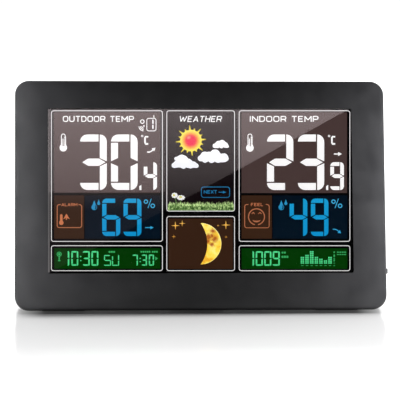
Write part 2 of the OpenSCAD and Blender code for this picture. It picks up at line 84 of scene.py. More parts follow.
def srgb(r, g, b):
    return tuple((c / 255 / 12.92) if c / 255 <= 0.04045 else ((c / 255 + 0.055) / 1.055) ** 2.4 for c in (r, g, b))


def new_mat(name):
    m = bpy.data.materials.new(name)
    m.use_nodes = True
    nt = m.node_tree
    for n in list(nt.nodes):
        nt.nodes.remove(n)
    out = nt.nodes.new("ShaderNodeOutputMaterial")
    bs = nt.nodes.new("ShaderNodeBsdfPrincipled")
    nt.links.new(bs.outputs[0], out.inputs[0])
    return m, nt, bs


def coords(nt, scale=1.0):
    tc = nt.nodes.new("ShaderNodeTexCoord")
    mp = nt.nodes.new("ShaderNodeMapping")
    mp.inputs["Scale"].default_value = (scale, scale, scale) if not hasattr(scale, "__len__") else scale
    nt.links.new(tc.outputs["Object"], mp.inputs[0])
    return mp.outputs[0]


def noise(nt, vec, scale, detail=3.0, rough=0.55):
    n = nt.nodes.new("ShaderNodeTexNoise")
    n.inputs["Scale"].default_value = scale
    n.inputs["Detail"].default_value = detail
    n.inputs["Roughness"].default_value = rough
    nt.links.new(vec, n.inputs["Vector"])
    return n.outputs["Fac"]


def ramp(nt, fac, stops, interp="LINEAR"):
    r = nt.nodes.new("ShaderNodeValToRGB")
    r.color_ramp.interpolation = interp
    e = r.color_ramp.elements
    while len(e) < len(stops):
        e.new(0.5)
    for el, (p, c) in zip(e, stops):
        el.position = p
        el.color = (*c, 1) if len(c) == 3 else c
    nt.links.new(fac, r.inputs[0])
    return r.outputs[0]


def to_range(nt, fac, a, b, lo=0.0, hi=1.0):
    r = nt.nodes.new("ShaderNodeMapRange")
    r.inputs["From Min"].default_value = lo
    r.inputs["From Max"].default_value = hi
    r.inputs["To Min"].default_value = a
    r.inputs["To Max"].default_value = b
    nt.links.new(fac, r.inputs[0])
    return r.outputs[0]


def math_node(nt, op, a, b=None, clamp=False):
    n = nt.nodes.new("ShaderNodeMath")
    n.operation = op
    n.use_clamp = clamp
    for i, v in enumerate((a, b)):
        if v is None:
            continue
        if isinstance(v, (int, float)):
            n.inputs[i].default_value = v
        else:
            nt.links.new(v, n.inputs[i])
    return n.outputs[0]


def bump(nt, bs, height, strength=0.2, distance=0.0001, normal=None):
    b = nt.nodes.new("ShaderNodeBump")
    b.inputs["Strength"].default_value = strength
    b.inputs["Distance"].default_value = distance
    nt.links.new(height, b.inputs["Height"])
    if normal is not None:
        nt.links.new(normal, b.inputs["Normal"])
    nt.links.new(b.outputs[0], bs.inputs["Normal"])
    return b.outputs[0]


def moulded(name, lo, hi, rough=(0.38, 0.5), grain=2600.0, strength=0.25, spec=0.5, mottling=90.0, scuffs=True):
    """Injection-moulded plastic: fine spark-eroded grain, faint mottling, a few light scuffs."""
    m, nt, bs = new_mat(name)
    v = coords(nt)
    big = noise(nt, v, mottling, 4)
    fine = noise(nt, v, grain, 2, 0.6)
    col = ramp(nt, big, [(0.3, lo), (0.7, hi)])
    nt.links.new(col, bs.inputs["Base Color"])
    if scuffs:
        sv = coords(nt, (1.0, 1.0, 14.0))
        sc = noise(nt, sv, 160.0, 6, 0.7)
        sc = to_range(nt, sc, 0.0, 0.05, 0.62, 0.75)
        r = to_range(nt, fine, rough[0], rough[1], 0.3, 0.7)
        nt.links.new(math_node(nt, "ADD", r, sc, True), bs.inputs["Roughness"])
    else:
        nt.links.new(to_range(nt, fine, rough[0], rough[1], 0.3, 0.7), bs.inputs["Roughness"])
    bs.inputs["Specular IOR Level"].default_value = spec
    bump(nt, bs, fine, strength, 0.00008)
    return m


def metal(name, lo, hi, rough=(0.22, 0.4), brushed=False, strength=0.1):
    m, nt, bs = new_mat(name)
    v = coords(nt, (1, 1, 12) if brushed else 1.0)
    n = noise(nt, v, 500.0, 4)
    spots = noise(nt, coords(nt), 60.0, 5, 0.65)
    nt.links.new(ramp(nt, spots, [(0.3, lo), (0.7, hi)]), bs.inputs["Base Color"])
    nt.links.new(to_range(nt, n, rough[0], rough[1], 0.3, 0.7), bs.inputs["Roughness"])
    bs.inputs["Metallic"].default_value = 1.0
    bump(nt, bs, n, strength, 0.00004)
    return m


def board(name, lo, hi):
    """Solder mask over copper tracks."""
    m, nt, bs = new_mat(name)
    v = coords(nt)
    br = nt.nodes.new("ShaderNodeTexBrick")
    br.inputs["Scale"].default_value = 260.0
    br.inputs["Color1"].default_value = (*lo, 1)
    br.inputs["Color2"].default_value = (*hi, 1)
    br.inputs["Mortar"].default_value = (*[c * 1.9 for c in hi], 1)
    br.inputs["Mortar Size"].default_value = 0.07
    mp = coords(nt, (1.0, 1.0, 0.35))
    nt.links.new(mp, br.inputs["Vector"])
    big = noise(nt, v, 120.0, 3)
    mix = nt.nodes.new("ShaderNodeMix")
    mix.data_type = "RGBA"
    nt.links.new(to_range(nt, big, 0.2, 0.9, 0.35, 0.65), mix.inputs[0])
    mix.inputs[6].default_value = (*lo, 1)
    nt.links.new(br.outputs["Color"], mix.inputs[7])
    nt.links.new(mix.outputs[2], bs.inputs["Base Color"])
    nt.links.new(to_range(nt, big, 0.25, 0.4), bs.inputs["Roughness"])
    bump(nt, bs, br.outputs["Fac"], 0.15, 0.00005)
    return m


def plain(name, lo, hi, rough=(0.4, 0.55), scale=200.0, strength=0.15, metallic=0.0):
    m, nt, bs = new_mat(name)
    v = coords(nt)
    n = noise(nt, v, scale, 4)
    nt.links.new(ramp(nt, n, [(0.3, lo), (0.7, hi)]), bs.inputs["Base Color"])
    nt.links.new(to_range(nt, n, rough[0], rough[1], 0.3, 0.7), bs.inputs["Roughness"])
    bs.inputs["Metallic"].default_value = metallic
    bump(nt, bs, n, strength, 0.00006)
    return m


def glow(name, lo, hi, strength=1.0, span=None, dots=0.035, ink=None):
    """Lit display ink. lo and hi are the colours at the foot and the head of the span along the console's face (metres)."""
    m, nt, bs = new_mat(name)
    tc = nt.nodes.new("ShaderNodeTexCoord")
    sep = nt.nodes.new("ShaderNodeSeparateXYZ")
    nt.links.new(tc.outputs["Object"], sep.inputs[0])
    z0, z1 = span or (0.0, 0.12)
    g = to_range(nt, sep.outputs[2], 0.0, 1.0, z0, z1)
    n = noise(nt, coords(nt), 900.0, 2)
    g2 = math_node(nt, "ADD", g, to_range(nt, n, -dots, dots, 0.3, 0.7), True)
    col = ramp(nt, g2, [(0.0, lo), (1.0, hi)])
    dark = ink or tuple(c * 0.25 for c in hi)
    bs.inputs["Base Color"].default_value = (*dark, 1)
    nt.links.new(ramp(nt, n, [(0.3, tuple(c * 0.9 for c in dark)), (0.7, dark)]), bs.inputs["Base Color"])
    bs.inputs["Roughness"].default_value = 0.6
    bs.inputs["Specular IOR Level"].default_value = 0.1
    nt.links.new(col, bs.inputs["Emission Color"])
    bs.inputs["Emission Strength"].default_value = strength
    return m


# ---------------------------------------------------------------- materials of the carried-over parts
BLACK_LO, BLACK_HI = srgb(18, 18, 19), srgb(25, 25, 26)
MATS = {
    "black_plastic": moulded("abs_black", BLACK_LO, BLACK_HI, (0.44, 0.54), 2300.0, 0.3, 0.4),
    "key_plastic": moulded("abs_key", srgb(30, 30, 31), srgb(40, 40, 41), (0.4, 0.5), 3200.0, 0.2, 0.4),
    "black_tape": plain("tape_black", srgb(14, 14, 14), srgb(22, 22, 22), (0.6, 0.75), 900.0),
    "printed_film": plain("film_printed", srgb(120, 104, 100), srgb(140, 122, 116), (0.3, 0.4), 60.0, 0.05),
    "white_film": plain("film_white", srgb(226, 228, 232), srgb(244, 245, 248), (0.5, 0.65), 300.0, 0.05),
    "led_lens": plain("led_phosphor", srgb(232, 214, 120), srgb(250, 238, 170), (0.25, 0.35), 800.0, 0.1),
    "white_board": board("board_white", srgb(214, 214, 208), srgb(236, 236, 230)),
    "white_plastic": moulded("abs_white", srgb(214, 213, 206), srgb(228, 227, 221), (0.4, 0.5), 2600.0, 0.15, 0.5, 60.0, False),
    "amber_film": plain("polyimide", srgb(150, 92, 22), srgb(184, 120, 40), (0.22, 0.34), 220.0, 0.08),
    "circuit_board": board("board_green", srgb(10, 70, 32), srgb(18, 96, 46)),
    "blue_board": board("board_blue", srgb(16, 40, 112), srgb(24, 60, 140)),
    "chip_black": moulded("epoxy_black", srgb(22, 22, 24), srgb(34, 34, 36), (0.55, 0.7), 1800.0, 0.25, 0.4, 200.0, False),
    "component": plain("ceramic_tan", srgb(150, 130, 104), srgb(190, 172, 146), (0.4, 0.6), 900.0, 0.1),
    "capacitor_can": metal("can_sleeved", srgb(60, 66, 96), srgb(84, 92, 128), (0.3, 0.42)),
    "bright_metal": metal("tinned_steel", srgb(196, 196, 198), srgb(222, 222, 224), (0.2, 0.36)),
    "ferrite": plain("ferrite_grey", srgb(52, 50, 50), srgb(76, 73, 72), (0.6, 0.75), 700.0, 0.3),
    "copper_wire": metal("copper_enamel", srgb(172, 92, 48), srgb(206, 124, 72), (0.25, 0.4), True, 0.3),
    "screw_steel": metal("zinc_steel", srgb(168, 168, 170), srgb(200, 200, 202), (0.24, 0.4)),
    "screw_black": metal("black_oxide", srgb(48, 48, 50), srgb(74, 74, 76), (0.32, 0.46)),
    "spring_steel": metal("nickel_steel", srgb(188, 187, 182), srgb(214, 213, 208), (0.2, 0.32), True),
    "lead_red": plain("wire_red", srgb(150, 16, 14), srgb(186, 28, 24), (0.35, 0.5), 400.0, 0.1),
    "foot_rubber": plain("rubber_black", srgb(26, 26, 26), srgb(40, 40, 40), (0.72, 0.86), 1100.0, 0.5),
}


def lens_material():
    m, nt, bs = new_mat("acrylic_window")
    v = coords(nt)
    n = noise(nt, v, 40.0, 3)
    nt.links.new(to_range(nt, n, 0.0, 0.012, 0.35, 0.75), bs.inputs["Roughness"])
    bs.inputs["Base Color"].default_value = (0.97, 0.97, 0.98, 1)
    bs.inputs["IOR"].default_value = 1.49
    bs.inputs["Transmission Weight"].default_value = 1.0
    bs.inputs["Specular IOR Level"].default_value = 0.5
    nt.links.new(ramp(nt, n, [(0.2, (0.955, 0.955, 0.965)), (0.8, (0.985, 0.985, 0.99))]), bs.inputs["Base Color"])
    return m


def guide_material():
    m, nt, bs = new_mat("acrylic_guide")
    v = nt.nodes.new("ShaderNodeTexVoronoi")
    v.inputs["Scale"].default_value = 700.0
    nt.links.new(coords(nt), v.inputs["Vector"])
    nt.links.new(ramp(nt, v.outputs["Distance"], [(0.1, (0.7, 0.76, 0.8)), (0.5, (0.9, 0.94, 0.96))]), bs.inputs["Base Color"])
    nt.links.new(to_range(nt, v.outputs["Distance"], 0.1, 0.3), bs.inputs["Roughness"])
    bs.inputs["Transmission Weight"].default_value = 0.6
    bs.inputs["IOR"].default_value = 1.49
    return m


def glass_material():
    m, nt, bs = new_mat("display_black")
    n = noise(nt, coords(nt), 1500.0, 2)
    nt.links.new(ramp(nt, n, [(0.3, srgb(3, 3, 4)), (0.7, srgb(6, 6, 7))]), bs.inputs["Base Color"])
    nt.links.new(to_range(nt, n, 0.3, 0.4), bs.inputs["Roughness"])
    bs.inputs["Specular IOR Level"].default_value = 0.05
    return m


def cell_material():
    """Printed cell sleeve with a plain metallic band, no marks."""
    m, nt, bs = new_mat("cell_sleeve")
    tc = nt.nodes.new("ShaderNodeTexCoord")
    sep = nt.nodes.new("ShaderNodeSeparateXYZ")
    nt.links.new(tc.outputs["Object"], sep.inputs[0])
    lo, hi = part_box("battery_cells")
    g = to_range(nt, sep.outputs[0], 0.0, 1.0, lo.x, hi.x)
    n = noise(nt, coords(nt), 300.0, 3)
    g = math_node(nt, "ADD", g, to_range(nt, n, -0.004, 0.004), False)
    nt.links.new(ramp(nt, g, [(0.0, srgb(190, 192, 196)), (0.03, srgb(34, 44, 62)), (0.7, srgb(44, 56, 78)), (0.72, srgb(176, 132, 60)), (0.96, srgb(196, 150, 76)), (0.98, srgb(190, 192, 196))]), bs.inputs["Base Color"])
    nt.links.new(to_range(nt, n, 0.25, 0.36), bs.inputs["Roughness"])
    bump(nt, bs, n, 0.05, 0.00005)
    return m


MATS["clear_window"] = lens_material()
MATS["clear_acrylic"] = guide_material()
MATS["display_glass"] = glass_material()
MATS["cell_wrap"] = cell_material()

slot_of = {s["node"]: s["material_slot"] for s in frame["record"]["subparts"]}
EDGE = {"front_housing": 0.12, "rear_housing": 0.35, "battery_door": 0.25, "stand_leg": 0.35, "stand_foot_pad": 0.25,
        "key_1": 0.3, "key_2": 0.3, "key_3": 0.3, "key_4": 0.3, "key_5": 0.3, "key_6": 0.3, "snooze_bar": 0.4,
        "switch_knob": 0.25, "rubber_feet": 0.25, "dc_jack": 0.15, "usb_shell": 0.08, "housing_screws": 0.15,
        "main_board": 0.1, "board_chips": 0.12, "usb_tongue": 0.1, "battery_cells": 0.25}
FLAT = ("display_lens", "lcd_glass", "colour_film", "diffuser_sheet", "light_guide", "reflector_sheet", "lens_adhesive")
for name, obj in NODES.items():
    me = obj.data
    me.materials.clear()
    me.materials.append(MATS[slot_of[name]])
    if name in FLAT:
        loaded_normals = me.attributes.get("custom_normal")
        if loaded_normals is not None:
            me.attributes.remove(loaded_normals)
        for p in me.polygons:
            p.use_smooth = False
    elif name in EDGE:
        loaded_normals = me.attributes.get("custom_normal")
        if loaded_normals is not None:
            me.attributes.remove(loaded_normals)
        for p in me.polygons:
            p.use_smooth = True
        w = obj.modifiers.new("weld", "WELD")
        w.merge_threshold = 0.000002
        d = obj.modifiers.new("flat", "DECIMATE")
        d.decimate_type = "DISSOLVE"
        d.angle_limit = math.radians(0.6)
        b = obj.modifiers.new("edges", "BEVEL")
        b.width = EDGE[name] * MM
        b.segments = 3
        b.limit_method = "ANGLE"
        b.angle_limit = math.radians(38)
        b.miter_outer = "MITER_ARC"
        b.use_clamp_overlap = True
        b.harden_normals = True

# ---------------------------------------------------------------- display artwork
# Laid out on a canvas whose reference rectangle spans these values; u runs right and v runs down. The printed
# layout sits a little askew behind the window, so each corner of the rectangle has its own inset.
U0, U1, V0, V1 = 51.38, 349.88, 110.78, 270.7
TL = Vector((WX0 + 1.788 * MM, WZ1 - 1.163 * MM))
TR = Vector((WX1 - 0.522 * MM, WZ1 - 0.908 * MM))
BR = Vector((WX1 - 1.847 * MM, WZ0 + 1.256 * MM))
BL = Vector((WX0 + 1.763 * MM, WZ0 + 1.670 * MM))


E1, E2, ES = TR - BR, BL - BR, TL - TR + BR - BL
KG = (ES.x * E2.y - E2.x * ES.y) / (E1.x * E2.y - E2.x * E1.y)
KH = (E1.x * ES.y - ES.x * E1.y) / (E1.x * E2.y - E2.x * E1.y)
KS, KT = TR - TL + KG * TR, BL - TL + KH * BL


def canvas(u, v, y):
    s, t = (u - U0) / (U1 - U0), (v - V0) / (V1 - V0)
    p = (KS * s + KT * t + TL) / (KG * s + KH * t + 1)
    return TO_ROW @ Vector((p.x, y, p.y))


LAYERS = {}
STEP = ROOM / 10


class Art:
    """A group of thin closed prisms of one colour, lying on the display at one level."""

    def __init__(self, name, mat, level=1, thick=1.0):
        self.name, self.mat = name, mat
        self.y1 = FACE - STEP * (level - 1) - STEP * 0.15
        self.y0 = self.y1 - STEP * thick
        self.bm = bmesh.new()

    def poly(self, pts):
        pts = list(pts)
        area = sum(pts[i][0] * pts[(i + 1) % len(pts)][1] - pts[(i + 1) % len(pts)][0] * pts[i][1] for i in range(len(pts)))
        if area < 0:
            pts.reverse()
        f = [self.bm.verts.new(canvas(u, v, self.y0)) for u, v in pts]
        b = [self.bm.verts.new(canvas(u, v, self.y1)) for u, v in pts]
        n = len(pts)
        self.bm.faces.new(f)
        self.bm.faces.new(list(reversed(b)))
        for i in range(n):
            j = (i + 1) % n
            self.bm.faces.new((f[j], f[i], b[i], b[j]))

    def ring(self, outer, inner):
        n = len(outer)
        fo = [self.bm.verts.new(canvas(u, v, self.y0)) for u, v in outer]
        fi = [self.bm.verts.new(canvas(u, v, self.y0)) for u, v in inner]
        bo = [self.bm.verts.new(canvas(u, v, self.y1)) for u, v in outer]
        bi = [self.bm.verts.new(canvas(u, v, self.y1)) for u, v in inner]
        for i in range(n):
            j = (i + 1) % n
            self.bm.faces.new((fo[i], fo[j], fi[j], fi[i]))
            self.bm.faces.new((bo[j], bo[i], bi[i], bi[j]))
            self.bm.faces.new((fo[j], fo[i], bo[i], bo[j]))
            self.bm.faces.new((fi[i], fi[j], bi[j], bi[i]))

    def rect(self, u0, v0, u1, v1, r=0.0):
        self.poly(rounded(u0, v0, u1, v1, r) if r else [(u0, v0), (u1, v0), (u1, v1), (u0, v1)])

    def frame(self, u0, v0, u1, v1, r, t):
        self.ring(rounded(u0 - t / 2, v0 - t / 2, u1 + t / 2, v1 + t / 2, r + t / 2),
                  rounded(u0 + t / 2, v0 + t / 2, u1 - t / 2, v1 - t / 2, max(r - t / 2, 0.05)))

    def disc(self, u, v, r, n=28):
        self.poly([(u + r * math.cos(2 * math.pi * i / n), v + r * math.sin(2 * math.pi * i / n)) for i in range(n)])

    def hoop(self, u, v, r, t, n=32):
        p = [(math.cos(2 * math.pi * i / n), math.sin(2 * math.pi * i / n)) for i in range(n)]
        self.ring([(u + a * (r + t / 2), v + b * (r + t / 2)) for a, b in p],
                  [(u + a * (r - t / 2), v + b * (r - t / 2)) for a, b in p])

    def stroke(self, pts, t, caps=True):
        """A line of even width along points, as one outline."""
        left, right = [], []
        n = len(pts)
        for i, p in enumerate(pts):
            a = Vector(pts[max(i - 1, 0)])
            b = Vector(pts[min(i + 1, n - 1)])
            d = (b - a).normalized()
            nrm = Vector((-d.y, d.x)) * t / 2
            if 0 < i < n - 1:
                d1 = (Vector(p) - Vector(pts[i - 1])).normalized()
                k = 1 / max(0.5, nrm.normalized().dot(Vector((-d1.y, d1.x))))
                nrm = nrm * k
            left.append((p[0] + nrm.x, p[1] + nrm.y))
            right.append((p[0] - nrm.x, p[1] - nrm.y))
        self.poly(left + right[::-1])

    def loop(self, pts, t):
        """A closed line of even width along points."""
        n = len(pts)
        out, inn = [], []
        for i, p in enumerate(pts):
            d0 = (Vector(p) - Vector(pts[i - 1])).normalized()
            d1 = (Vector(pts[(i + 1) % n]) - Vector(p)).normalized()
            m = Vector((-(d0 + d1).y, (d0 + d1).x)).normalized()
            k = t / 2 / max(0.5, m.dot(Vector((-d0.y, d0.x))))
            out.append((p[0] + m.x * k, p[1] + m.y * k))
            inn.append((p[0] - m.x * k, p[1] - m.y * k))
        self.ring(out, inn)

    def text(self, word, u0, v0, u1, v1, t, painted_light_slope=0.0):
        """A word in plain stroke capitals, fitted to a box."""
        wide = [LETTERS[c][0] for c in word]
        gap = 0.4
        unit = (u1 - u0 - t) / (sum(wide) + gap * (len(word) - 1))
        u = u0 + t / 2
        for c, w in zip(word, wide):
            for line in LETTERS[c][1:]:
                pts = [(u + x * w * unit + painted_light_slope * (y - 0.5), v1 - t / 2 - y * (v1 - v0 - t)) for x, y in line]
                if line[0] == line[-1]:
                    self.loop(pts[:-1], t)
                elif len(line) > 6:
                    self.stroke(pts, t)
                else:
                    last = len(pts) - 2
                    for i in range(last + 1):
                        p, q = Vector(pts[i]), Vector(pts[i + 1])
                        d = (q - p).normalized() * t * 0.42
                        self.stroke([p - d * (i > 0), q + d * (i < last)], t)
            u += (w + gap) * unit

    def digit(self, ch, u0, v0, u1, v1, t, g=None):
        g = t * 0.17 if g is None else g
        on = {"0": "abcdef", "1": "bc", "2": "abged", "3": "abgcd", "4": "fgbc", "5": "afgcd", "6": "afgedc",
              "7": "abc", "9": "abcdfg", "S": "afgcd", "U": "bcdef", "8": "abcdefg"}[ch]
        ub, vm, r = u1 - t, (v0 + v1) / 2, t * 1.05
        n = 7

        def arc(cu, cv, ru, rv, a0, a1):
            return [(cu + ru * math.cos(math.radians(a0 + (a1 - a0) * i / n)), cv - rv * math.sin(math.radians(a0 + (a1 - a0) * i / n))) for i in range(n + 1)]
        if "a" in on:
            self.poly(arc(u0 + r, v0 + t, r, t, 180, 90) + [(ub - g, v0), (ub - g, v0 + t)])
        if "d" in on:
            self.poly(arc(u0 + r, v1 - t, r, t, 180, 270) + [(ub - g, v1), (ub - g, v1 - t)])
        if "b" in on:
            self.poly([(ub, v0)] + arc(ub, v0 + r, t, r, 90, 0)[1:] + [(u1, vm - g * 0.75), (ub, vm - 0.6 * t)])
        if "c" in on:
            self.poly([(ub, v1)] + arc(ub, v1 - r, t, r, 270, 360)[1:] + [(u1, vm + g * 0.75), (ub, vm + 0.6 * t)])
        if "f" in on:
            top = v0 + t + g
            self.poly([(u0, top), (u0 + t, top), (u0 + t, vm - 0.6 * t), (u0, vm - g * 0.75)])
        if "e" in on:
            low = v1 - t - g
            self.poly([(u0, low), (u0 + t, low), (u0 + t, vm + 0.6 * t), (u0, vm + g * 0.75)])
        if "g" in on:
            k = 0.52 * t
            a, b = u0 + 1.6 * g, u1 - g
            self.poly([(a, vm), (a + 0.85 * t, vm - k), (b - 0.93 * t, vm - k), (b, vm), (b - 0.93 * t, vm + k), (a + 0.85 * t, vm + k)])

    def done(self):
        me = bpy.data.meshes.new(self.name)
        self.bm.to_mesh(me)
        self.bm.free()
        ob = bpy.data.objects.new(self.name, me)
        bpy.context.scene.collection.objects.link(ob)
        me.materials.append(self.mat)
        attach(ob, "console")
        LAYERS[self.name] = ob
        return ob


RING = [(0.3, 1), (0.7, 1), (0.92, 0.92), (1, 0.7), (1, 0.3), (0.92, 0.08), (0.7, 0), (0.3, 0), (0.08, 0.08), (0, 0.3), (0, 0.7), (0.08, 0.92), (0.3, 1)]
HOOK = [(0, 1), (0.7, 1), (0.93, 0.93), (1, 0.78), (1, 0.64), (0.93, 0.48), (0.7, 0.42), (0, 0.42)]
LETTERS = {
    " ": (0.42,),
    "A": (1.05, [(0, -0.06), (0.5, 1.02)], [(0.5, 1.02), (1, -0.06)], [(0.2, 0.3), (0.8, 0.3)]),
    "D": (0.95, [(0, 0), (0, 1), (0.62, 1), (0.9, 0.88), (1, 0.66), (1, 0.34), (0.9, 0.12), (0.62, 0), (0, 0)]),
    "E": (0.85, [(1, 1), (0, 1), (0, 0), (1, 0)], [(0, 0.5), (0.88, 0.5)]),
    "F": (0.85, [(1, 1), (0, 1), (0, -0.08)], [(0, 0.48), (0.85, 0.48)]),
    "H": (0.95, [(0, -0.08), (0, 1.08)], [(1, -0.08), (1, 1.08)], [(0, 0.5), (1, 0.5)]),
    "I": (0.08, [(0.5, -0.08), (0.5, 1.08)]),
    "L": (0.8, [(0, 1.08), (0, 0), (1, 0)]),
    "M": (1.22, [(0, -0.08), (0, 1.08)], [(0, 1.0), (0.5, 0.3)], [(0.5, 0.3), (1, 1.0)], [(1, 1.08), (1, -0.08)]),
    "N": (1.02, [(0, -0.08), (0, 1.08)], [(0, 1.0), (1, 0.0)], [(1, -0.08), (1, 1.08)]),
    "O": (1.02, RING),
    "P": (0.95, [(0, -0.08), (0, 1.0)], HOOK),
    "R": (0.95, [(0, -0.08), (0, 1.0)], HOOK, [(0.55, 0.42), (0.8, 0.3), (1, -0.05)]),
    "T": (0.9, [(-0.04, 1), (1.04, 1)], [(0.5, 1), (0.5, -0.08)]),
    "U": (0.98, [(0, 1.08), (0, 0.3), (0.08, 0.08), (0.3, 0), (0.7, 0), (0.92, 0.08), (1, 0.3), (1, 1.08)]),
    "W": (1.55, [(0, 1.06), (0.25, 0)], [(0.25, 0), (0.5, 0.86)], [(0.5, 0.86), (0.75, 0)], [(0.75, 0), (1, 1.06)]),
    "X": (0.95, [(0, -0.04), (1, 1.04)], [(0, 1.04), (1, -0.04)]),
}


def rounded(u0, v0, u1, v1, r, n=6):
    pts = []
    for cu, cv, a0 in ((u1 - r, v0 + r, -90), (u1 - r, v1 - r, 0), (u0 + r, v1 - r, 90), (u0 + r, v0 + r, 180)):
        for i in range(n + 1):
            a = math.radians(a0 + 90 * i / n)
            pts.append((cu + r * math.cos(a), cv + r * math.sin(a)))
    return pts


def zrow(v):
    """Height in the row frame of a canvas line, for gradients."""
    return canvas(200, v, FACE).z


# panel backgrounds -------------------------------------------------
def panel(name, rgb_top, rgb_bot, v0, v1, rects, level=1):
    a = Art(name, glow(name + "_ink", srgb(*rgb_bot), srgb(*rgb_top), 1.0, (zrow(v1), zrow(v0)), 0.02), level)
    for q in rects:
        a.rect(*q)
    return a.done()


TAUPE = (71, 55, 53)
panel("panel_outdoor", TAUPE, TAUPE, 112, 193, [(54.2, 112.4, 160.1, 192.8)])
panel("panel_indoor", TAUPE, TAUPE, 112, 193, [(241.6, 112.4, 347.0, 193.0)])
panel("panel_amber", (54, 33, 20), (56, 34, 20), 195, 239, [(54.2, 195.4, 84.0, 238.6), (241.6, 195.4, 271.9, 238.6)])
panel("panel_blue", (0, 12, 26), (1, 17, 31), 195, 239, [(84.9, 195.4, 160.2, 238.6), (272.7, 195.4, 347.3, 238.6)])
panel("panel_green", (0, 52, 1), (0, 53, 0), 248, 269, [(54.4, 248.3, 160.1, 268.6), (241.7, 248.4, 347.3, 268.8)])
panel("panel_moon", (53, 31, 18), (53, 31, 18), 218, 269, [(168.6, 218.6, 232.7, 268.8)])
panel("panel_sky", (17, 10, 12), (13, 6, 8), 112, 211, [(168.4, 112.6, 232.9, 209.8)])

# white frame lines -------------------------------------------------
WHITE_LINE = glow("ink_line", srgb(240, 238, 238), srgb(248, 246, 246), 1.0, (zrow(272), zrow(108)))
a = Art("frame_lines", WHITE_LINE, 2)
LT = 0.68
for q in ((51.38, 110.78, 162.4, 241.37), (51.38, 245.7, 162.4, 270.7), (166.8, 110.78, 234.55, 211.1),
          (166.8, 216.5, 234.55, 270.65), (239.15, 110.78, 349.88, 241.35), (239.15, 245.72, 349.88, 270.7)):
    a.frame(*q, 2.2, LT)
a.done()
# painted highlight: a grey strip printed down the window's left edge stands in for light caught by the window's left
# wall, brighter towards the foot
a = Art("left_edge_light", glow("ink_edge", srgb(108, 106, 106), srgb(64, 62, 62), 1.0, (zrow(272), zrow(108))), 2)
a.rect(48.05, 109.3, 49.7, 272.4)
a.done()

# white segments ----------------------------------------------------
WHITE = glow("ink_white", srgb(250, 248, 247), srgb(255, 254, 253), 1.05, (zrow(190), zrow(116)), 0.05)
a = Art("digits_white", WHITE, 2)
for ch, u0, u1 in (("3", 80.1, 106.8), ("0", 111.0, 137.6)):
    a.digit(ch, u0, 134.5, u1, 189.9, 7.0, 1.3)
for ch, u0, u1 in (("2", 267.0, 293.3), ("3", 297.9, 324.2)):
    a.digit(ch, u0, 134.5, u1, 190.0, 7.0, 1.3)
a.digit("4", 143.7, 162.2, 157.0, 189.9, 3.7, 0.75)
a.digit("9", 330.3, 162.2, 343.9, 190.0, 3.7, 0.75)
for u in (139.3, 326.1):
    a.poly([(u, 186.2), (u + 2.1, 184.8), (u + 2.1, 190.0), (u, 190.0)])
a.done()

a = Art("titles", WHITE, 2)
a.text("OUTDOOR TEMP", 62.8, 115.9, 134.0, 121.9, 1.0)
a.text("WEATHER", 179.2, 115.9, 221.8, 122.0, 0.94, 0.9)
a.text("INDOOR TEMP", 249.6, 115.9, 318.5, 121.9, 1.0)
a.done()


def thermometer(a, u, vb, r, vt, w, t):
    """Outline of a glass thermometer with its filled bulb."""
    n = 10
    k = math.asin(min(1, w / r))
    pts = [(u + r * math.sin(x), vb + r * math.cos(x)) for x in [(-math.pi + k) + i * (2 * math.pi - 2 * k) / (3 * n) for i in range(3 * n + 1)]]
    top = [(u + w * math.cos(math.radians(x)), vt + w - w * math.sin(math.radians(x))) for x in range(0, 181, 20)]
    # bulb and stem as one outline: bulb from the stem's left foot round to its right foot, then over the top
    a.poly(pts + top)
    return (u, vt + w, w - t, vb - r * 0.4)


a = Art("icons_white", WHITE, 2)
slots = [thermometer(a, 63.3, 147.7, 3.8, 133.6, 2.35, 0.75), thermometer(a, 249.9, 147.9, 3.8, 133.6, 2.35, 0.75)]
for u in (143.0, 329.9):
    a.hoop(u - 0.8, 136.0, 0.85, 0.6, 14)
    a.stroke([(u + 5.3, 136.9), (u + 2.6, 136.6), (u + 2.0, 137.6), (u + 2.0, 142.8), (u + 2.7, 143.9), (u + 5.3, 143.9)], 1.6)
a.hoop(142.3, 121.6, 1.8, 0.85, 20)
for k, r in enumerate((2.2, 3.6, 5.0)):
    a.stroke([(143.9 + r * math.cos(math.radians(x)), 126.0 - r * math.sin(math.radians(x))) for x in range(185, 266, 10)], 0.8)
a.disc(143.9, 126.0, 0.8, 12)
a.frame(146.8, 118.3, 156.0, 130.9, 2.0, 0.75)
a.stroke([(153.9, 115.2), (153.9, 117.8)], 0.8)
for v0, v1 in ((119.6, 123.8), (124.7, 128.9)):
    a.rect(152.2, v0, 153.6, v1, 0.3)
a.stroke([(147.0, 151.9), (149.0, 152.2), (151.2, 151.3), (153.3, 149.6)], 1.3)
a.poly([(151.6, 148.4), (155.6, 147.6), (154.2, 151.4)])
a.stroke([(333.9, 154.0), (339.2, 154.0)], 1.2)
a.poly([(338.2, 151.9), (341.9, 154.0), (338.2, 156.1)])
a.done()
a = Art("thermometer_bores", glow("ink_bore", srgb(60, 48, 46), srgb(66, 52, 50), 1.0, (zrow(190), zrow(116))), 3)
for u, vt, r, vb in slots:
    n = 8
    a.poly([(u + r * math.cos(math.radians(x)), vt - r * math.sin(math.radians(x))) for x in range(0, 181, 30)] + [(u - r * 0.7, vb), (u + r * 0.7, vb)])
a.done()
a = Art("thermometer_columns", WHITE, 4)
for u, vt, r, vb in slots:
    a.rect(u - 0.75, vt + 2.6, u + 0.1, vb + 0.4)
    for k in range(5):
        a.rect(u + 0.7, vt + 0.9 + k * 1.9, u + 2.9, vt + 1.6 + k * 1.9)
a.done()

